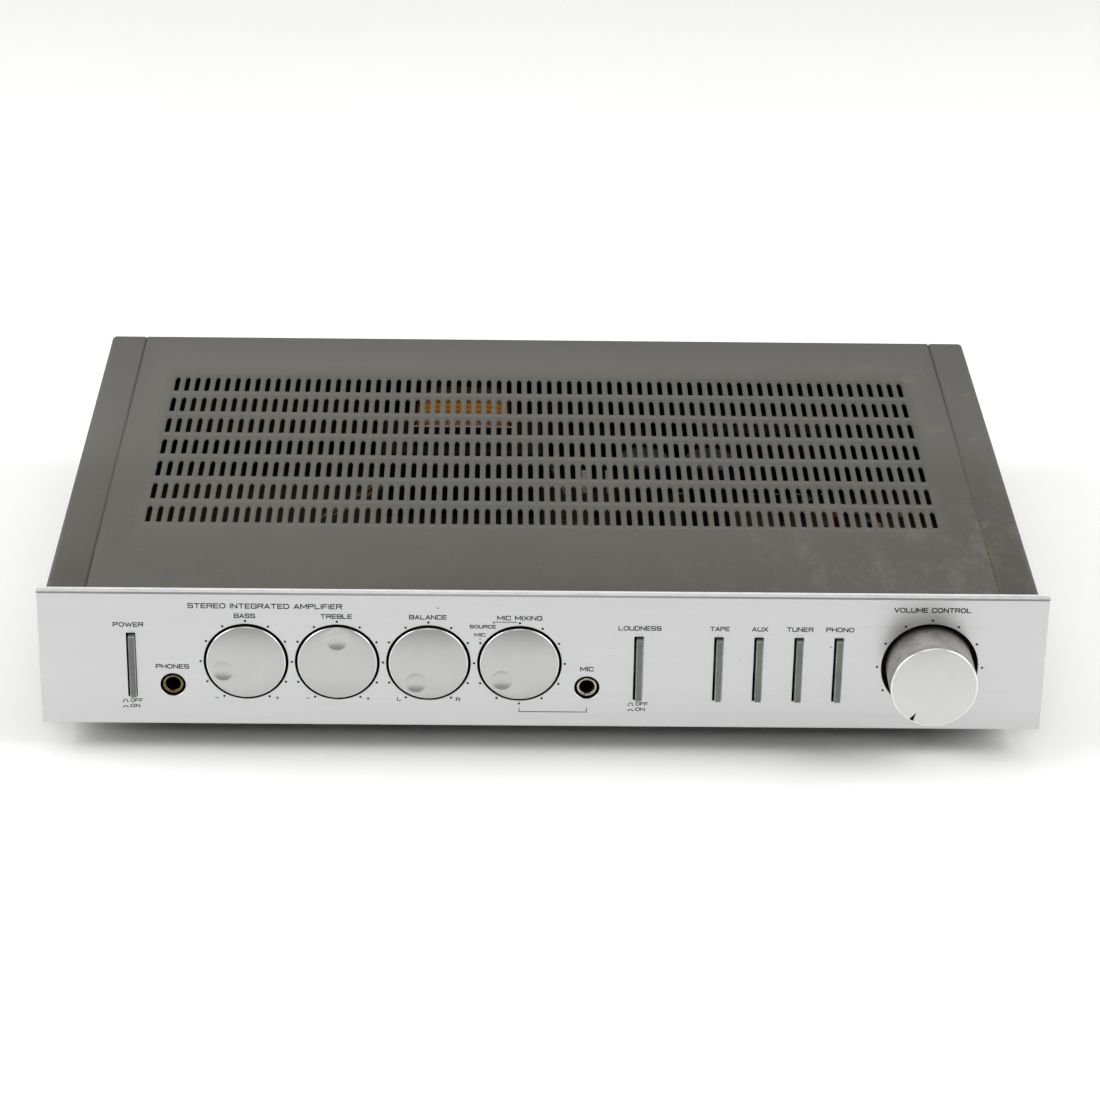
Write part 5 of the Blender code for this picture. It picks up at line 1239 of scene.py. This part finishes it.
class MakeInside(bpy.types.Operator):
    """What shows through the slots: bobbin, boards, capacitors, resistors and wiring"""
    bl_idname = "amplifier.inside"
    bl_label = "Inside"

    def execute(self, context):
        self.transformer()
        self.main_board_parts()
        self.tone_board()
        self.wiring()
        return {"FINISHED"}

    def transformer(self):
        """The taped winding and the two flanges that stand on the core."""
        bm = bmesh.new()
        low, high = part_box("transformer_winding")
        # the winding bulges over the limb between two pale flanges
        block(bm, low + Vector((1.6 * MM, 0, 0)), high - Vector((1.6 * MM, 0, 0)), bevel=9.0 * MM,
              segments=6, finish=0)
        piece(bm, "coil_winding", ["varnished_amber_winding_tape"], "chassis",
              ("transformer_winding",))
        bm = bmesh.new()
        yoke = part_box("transformer_core")[1].z
        for y in (low.y - 5.8 * MM, high.y + 4.6 * MM):
            block(bm, (low.x - 1.0 * MM, y, yoke), (high.x + 1.0 * MM, y + 1.2 * MM, high.z + 1.2 * MM),
                  bevel=0.3 * MM)
        # painted shade: the flanges are pale nylon, but only their tops are drawn pale; their sides are
        # drawn black for the shade they sit in
        for face in bm.faces:
            if face.normal.z > 0.6:
                face.material_index = 1
        piece(bm, "coil_flanges", ["black_moulded_abs", "ivory_moulded_nylon"], "chassis")

    def main_board_parts(self):
        """Small parts strewn over the main board, clear of everything that stands on it."""
        low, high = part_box("main_board")
        top = high.z
        dice = random.Random(7)
        bm = bmesh.new()
        taken = [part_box(n) for n in ("filter_capacitor_left", "filter_capacitor_right", "heat_sink",
                                     "power_module", "selector_switch", "loudness_switch", "volume_pot",
                                     "mic_jack", "transformer_core", "transformer_winding")]

        def clear(x, y, reach):
            """Whether nothing taken lies within reach."""
            return all(not (a.x - reach < x < b.x + reach and a.y - reach < y < b.y + reach)
                       for a, b in taken)

        for _ in range(BOARD_TRIES):
            x = dice.uniform(low.x + 6 * MM, high.x - 6 * MM)
            y = dice.uniform(low.y + 6 * MM, high.y - 6 * MM)
            kind = dice.random()
            reach = 5.0 * MM
            if not clear(x, y, reach):
                continue
            taken.append((Vector((x - 3.6 * MM, y - 3.6 * MM, 0)), Vector((x + 3.6 * MM, y + 3.6 * MM, 0))))
            if kind < 0.45:      # a resistor lying on the board
                spin = kind < 0.22
                axis = Vector((x, y, top + 1.5 * MM))
                half = ((0.0, 3.0), (0.9, 2.9), (1.2, 2.3), (1.0, 1.6))
                profile = [(r * MM, -along * MM) for r, along in half]
                profile += [(r * MM, along * MM) for r, along in reversed(half)]
                turned(bm, profile,
                       axis, axis="X" if spin else "Y", steps=10, finish=0)
                way = AXES["X" if spin else "Y"]
                for end in (-1, 1):
                    foot = axis + way * end * 4.2 * MM
                    lead(bm, [axis + way * end * 2.8 * MM, foot, foot - Vector((0, 0, 1.5 * MM))],
                         0.3 * MM, 3, 2)
            elif kind < 0.75:    # a small electrolytic capacitor
                r = dice.uniform(2.2, 3.3) * MM
                tall = dice.uniform(7, 12) * MM
                turned(bm, ((0.0, tall), (r - 0.4 * MM, tall), (r, tall - 0.4 * MM), (r, 1.6 * MM),
                            (r - 0.3 * MM, 1.2 * MM), (r, 0.8 * MM), (r, 0.0), (0.0, 0.0)),
                       Vector((x, y, top)), axis="Z", steps=16, finish=1)
            else:                # a dipped film capacitor
                block_at(bm, (x, y, top + 4.0 * MM), (7.0 * MM, 3.0 * MM, 6.4 * MM), bevel=1.3 * MM,
                         segments=3, finish=2)
        piece(bm, "board_parts",
              ["beige_resistor_lacquer", "capacitor_shrink_sleeve", "dipped_polyester_film",
               "nickel_plating"],
              "chassis")

    def tone_board(self):
        """The tone controls' upright board with a row of dipped capacitors and small resistors."""
        bm = bmesh.new()
        lows = [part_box(k + "_pot") for k in TONE_KNOBS]
        back = max(high.y for _, high in lows) + 1.0 * MM
        left = min(low.x for low, _ in lows) - 6 * MM
        right = max(high.x for _, high in lows) + 2 * MM
        block(bm, (left, back, PANEL_LOW.z + 12 * MM), (right, back + 1.6 * MM, PANEL_LOW.z + 50 * MM),
              finish=0)
        dice = random.Random(11)
        for k in range(TONE_BOARD_PARTS):
            x = left + (k + 0.5) * (right - left) / TONE_BOARD_PARTS
            z = PANEL_LOW.z + dice.choice((20, 29, 38, 45)) * MM
            red = dice.random() < 0.4
            block_at(bm, (x, back + 4.4 * MM, z), (3.0 * MM, 5.0 * MM, 6.0 * MM if red else 2.2 * MM),
                     bevel=1.0 * MM, segments=2, finish=1 if red else 2)
        piece(bm, "tone_board",
              ["phenolic_paper_laminate", "dipped_polyester_film", "beige_resistor_lacquer"],
              "chassis")

    def wiring(self):
        """Hook-up leads between the transformer, the power switch and the main board."""
        bm = bmesh.new()
        core_low, core_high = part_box("transformer_core")
        board_low, board_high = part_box("main_board")
        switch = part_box("power_switch")[1]
        start = Vector((core_low.x - 1.5 * MM, core_low.y + 20 * MM, core_low.z + 6 * MM))
        for k in range(3):
            shift = Vector((0, k * 2.2 * MM, k * 0.6 * MM))
            lead(bm, [start + shift, start + Vector((-28 * MM, -25 * MM, -8 * MM)) + shift,
                      Vector((switch.x + 12 * MM + k * 2 * MM, switch.y + 40 * MM, 24 * MM)),
                      Vector((switch.x - 5 * MM + k * 2 * MM, switch.y + 6 * MM, 30 * MM)),
                      Vector((switch.x - 5 * MM + k * 2 * MM, switch.y - 1 * MM, 36 * MM))],
                 0.9 * MM, k % 2)
        end = Vector((board_low.x + 4 * MM, board_high.y - 10 * MM, board_high.z))
        for k in range(4):
            shift = Vector((0, -k * 3.0 * MM, 0))
            at_core = Vector((core_high.x + 1.5 * MM, core_low.y + 8 * MM + k * 2 * MM,
                              core_high.z - 8 * MM))
            lead(bm, [at_core,
                      end + shift + Vector((-4 * MM, 4 * MM, 18 * MM)), end + shift + Vector((0, 0, 9 * MM)),
                      end + shift], 0.8 * MM, k % 2)
        # pale leads that show through the front slots, right of the middle
        front = Vector((30 * MM, board_low.y + 16 * MM, board_high.z))
        for k in range(3):
            lead(bm, [front + Vector((k * 3 * MM, 0, 0)),
                      front + Vector((k * 3 * MM + 2 * MM, 2 * MM, 22 * MM)),
                      front + Vector((k * 4 * MM + 12 * MM, 4 * MM, 30 * MM)),
                      front + Vector((k * 3 * MM + 24 * MM, 3 * MM, 14 * MM)),
                      front + Vector((k * 3 * MM + 26 * MM, 1 * MM, 0))], 0.75 * MM, 0)
        piece(bm, "hookup_wires", ["tan_pvc_insulation", "grey_pvc_insulation"], "chassis")


class FinishFrame(bpy.types.Operator):
    """Gives every CAD node that stays in sight a finish; the front subframe gets painted shade black in
    place of its zinc plating
    """
    bl_idname = "amplifier.finish_frame"
    bl_label = "Finish the frame"

    def execute(self, context):
        looks = {
            # painted shade: the zinc-plated subframe is drawn flat black, for the shade behind the gaps
            "front_subframe": "flat_black_painted_shade",
            "chassis_tray": "dull_zinc_sheet",
            "rear_panel": "stoved_olive_grey_rear_enamel",
            "transformer_core": "varnished_core_laminations",
            "main_board": "phenolic_paper_laminate",
            "heat_sink": "black_anodised_aluminium",
            "power_module": "black_moulded_abs",
            "speaker_terminal_block": "black_moulded_abs",
            "power_switch": "black_moulded_abs",
            "loudness_switch": "black_moulded_abs",
            "selector_switch": "zinc_plated_steel",
            "filter_capacitor_left": "capacitor_shrink_sleeve",
            "filter_capacitor_right": "capacitor_shrink_sleeve",
        }
        for knob in TONE_KNOBS + ("volume",):
            looks[knob + "_pot"] = "zinc_plated_steel"
            looks[knob + "_shaft"] = "nickel_plating"
        for button in BUTTONS:
            looks[button + "_plunger"] = "natural_white_acetal"
        for name, look in looks.items():
            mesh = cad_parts[name].data
            mesh.materials.clear()
            mesh.materials.append(finish(look))
        left = [n for n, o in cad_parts.items() if n not in looks and not o.hide_render]
        if left:
            raise RuntimeError(f"CAD nodes without a finish: {sorted(left)}")
        return {"FINISHED"}


class SetStage(bpy.types.Operator):
    """Pale floor, soft overhead and corner lights, and the camera"""
    bl_idname = "amplifier.stage"
    bl_label = "Stage"

    def execute(self, context):
        scene = context.scene
        studio = scene.amplifier_studio
        scene.view_settings.view_transform = "Standard"
        material, tree, shader, place = new_finish("matt_white_paper", Roughness=0.9, IOR=1.3)
        fibre = add(tree, "TexNoise", {"Vector": place, "Scale": per(400), "Detail": 2.0}).outputs[0]
        tint = add(tree, "ValToRGB", {"Fac": fibre}, stops=((0.3, "F2F2F1"), (0.7, "F5F5F4"))).outputs[0]
        join(tree, shader, Base_Color=tint)
        bm = bmesh.new()
        bmesh.ops.create_grid(bm, x_segments=1, y_segments=1, size=4.0)
        mesh = bpy.data.meshes.new("studio_floor")
        bm.to_mesh(mesh)
        bm.free()
        mesh.materials.append(material)
        floor = bpy.data.objects.new("studio_floor", mesh)
        scene.collection.objects.link(floor)
        world = bpy.data.worlds.new("plain_room")
        scene.world = world
        world.use_nodes = True
        room = world.node_tree.nodes["Background"]
        room.inputs["Color"].default_value = (1.0, 1.0, 1.0, 1.0)
        room.inputs["Strength"].default_value = studio.surround
        self.light("overhead_softbox", (0.0, 0.35, 1.6), (0.0, 0.1, 0.0), (1.6, 1.0), studio.top_power)
        self.light("front_softbox", (-0.1, -1.95, 1.4), (0.0, 0.0, 0.0), (0.6, 0.4), studio.front_power)
        self.light("left_softbox", (-1.4, -0.25, 0.95), (0.0, 0.0, 0.0), (1.3, 1.3), studio.left_power)
        self.light("right_softbox", (1.4, -0.25, 0.95), (0.0, 0.0, 0.0), (1.3, 1.3), studio.right_power)
        self.light("rear_backdrop", (0.0, 2.2, 0.8), (0.0, 0.0, 0.1), (3.2, 1.6), studio.rear_power)
        camera = bpy.data.cameras.new("camera")
        camera.sensor_width = 36.0
        camera.lens = studio.lens
        camera.clip_end = 20.0
        sy, cy = math.sin(studio.yaw), math.cos(studio.yaw)
        sp, cp = math.sin(studio.pitch), math.cos(studio.pitch)
        sr, cr = math.sin(studio.roll), math.cos(studio.roll)
        ahead = Vector((sy * cp, cy * cp, -sp))
        right = Vector((cy, -sy, 0.0))
        up = right.cross(ahead)
        turned_right = right * cr + up * sr
        turned_up = up * cr - right * sr
        holder = bpy.data.objects.new("camera", camera)
        scene.collection.objects.link(holder)
        turn = Matrix((turned_right, turned_up, -ahead)).transposed()
        holder.matrix_world = Matrix.Translation(studio.camera_place) @ turn.to_4x4()
        scene.camera = holder
        return {"FINISHED"}

    def light(self, name, place, target, size, power):
        """A rectangular soft light at a place, aimed at a target."""
        lamp = bpy.data.lights.new(name, "AREA")
        lamp.shape = "RECTANGLE"
        lamp.size, lamp.size_y = size
        lamp.energy = power
        holder = bpy.data.objects.new(name, lamp)
        bpy.context.scene.collection.objects.link(holder)
        holder.location = place
        holder.rotation_euler = (Vector(target) - Vector(place)).to_track_quat("-Z", "Y").to_euler()


MAKERS = (MakeFrontPanel, MakeLegends, MakeCover, MakeToneKnobs, MakeVolumeKnob, MakeButtons, MakeJacks,
          MakeFeet, MakeCoverScrews, MakeRearTerminals, MakeInside, FinishFrame, SetStage)


class AMPLIFIER_PT_panel(bpy.types.Panel):
    """Lists the pieces in the 3D view's sidebar"""
    bl_label = "Integrated amplifier"
    bl_idname = "AMPLIFIER_PT_panel"
    bl_space_type = "VIEW_3D"
    bl_region_type = "UI"
    bl_category = "Amplifier"

    def draw(self, context):
        for maker in MAKERS:
            self.layout.operator(maker.bl_idname)
        for group in ("amplifier_sizes", "amplifier_colours", "amplifier_studio"):
            box = self.layout.box()
            settings = getattr(context.scene, group)
            for key in settings.__annotations__:
                box.prop(settings, key)


GROUPS = {"amplifier_sizes": AmplifierSizes, "amplifier_colours": AmplifierColours,
          "amplifier_studio": AmplifierStudio}


def register():
    """Adds the settings, the operators and the sidebar panel."""
    for group in GROUPS.values():
        bpy.utils.register_class(group)
    for maker in MAKERS:
        bpy.utils.register_class(maker)
    bpy.utils.register_class(AMPLIFIER_PT_panel)
    for name, group in GROUPS.items():
        setattr(bpy.types.Scene, name, bpy.props.PointerProperty(type=group))


def unregister():
    """Takes them away again."""
    for name in GROUPS:
        delattr(bpy.types.Scene, name)
    bpy.utils.unregister_class(AMPLIFIER_PT_panel)
    for maker in reversed(MAKERS):
        bpy.utils.unregister_class(maker)
    for group in reversed(list(GROUPS.values())):
        bpy.utils.unregister_class(group)


def main():
    """Makes every piece through its operator."""
    register()
    for maker in MAKERS:
        group, name = maker.bl_idname.split(".")
        getattr(getattr(bpy.ops, group), name)()
    bpy.context.view_layer.update()


if __name__ == "__main__":
    main()
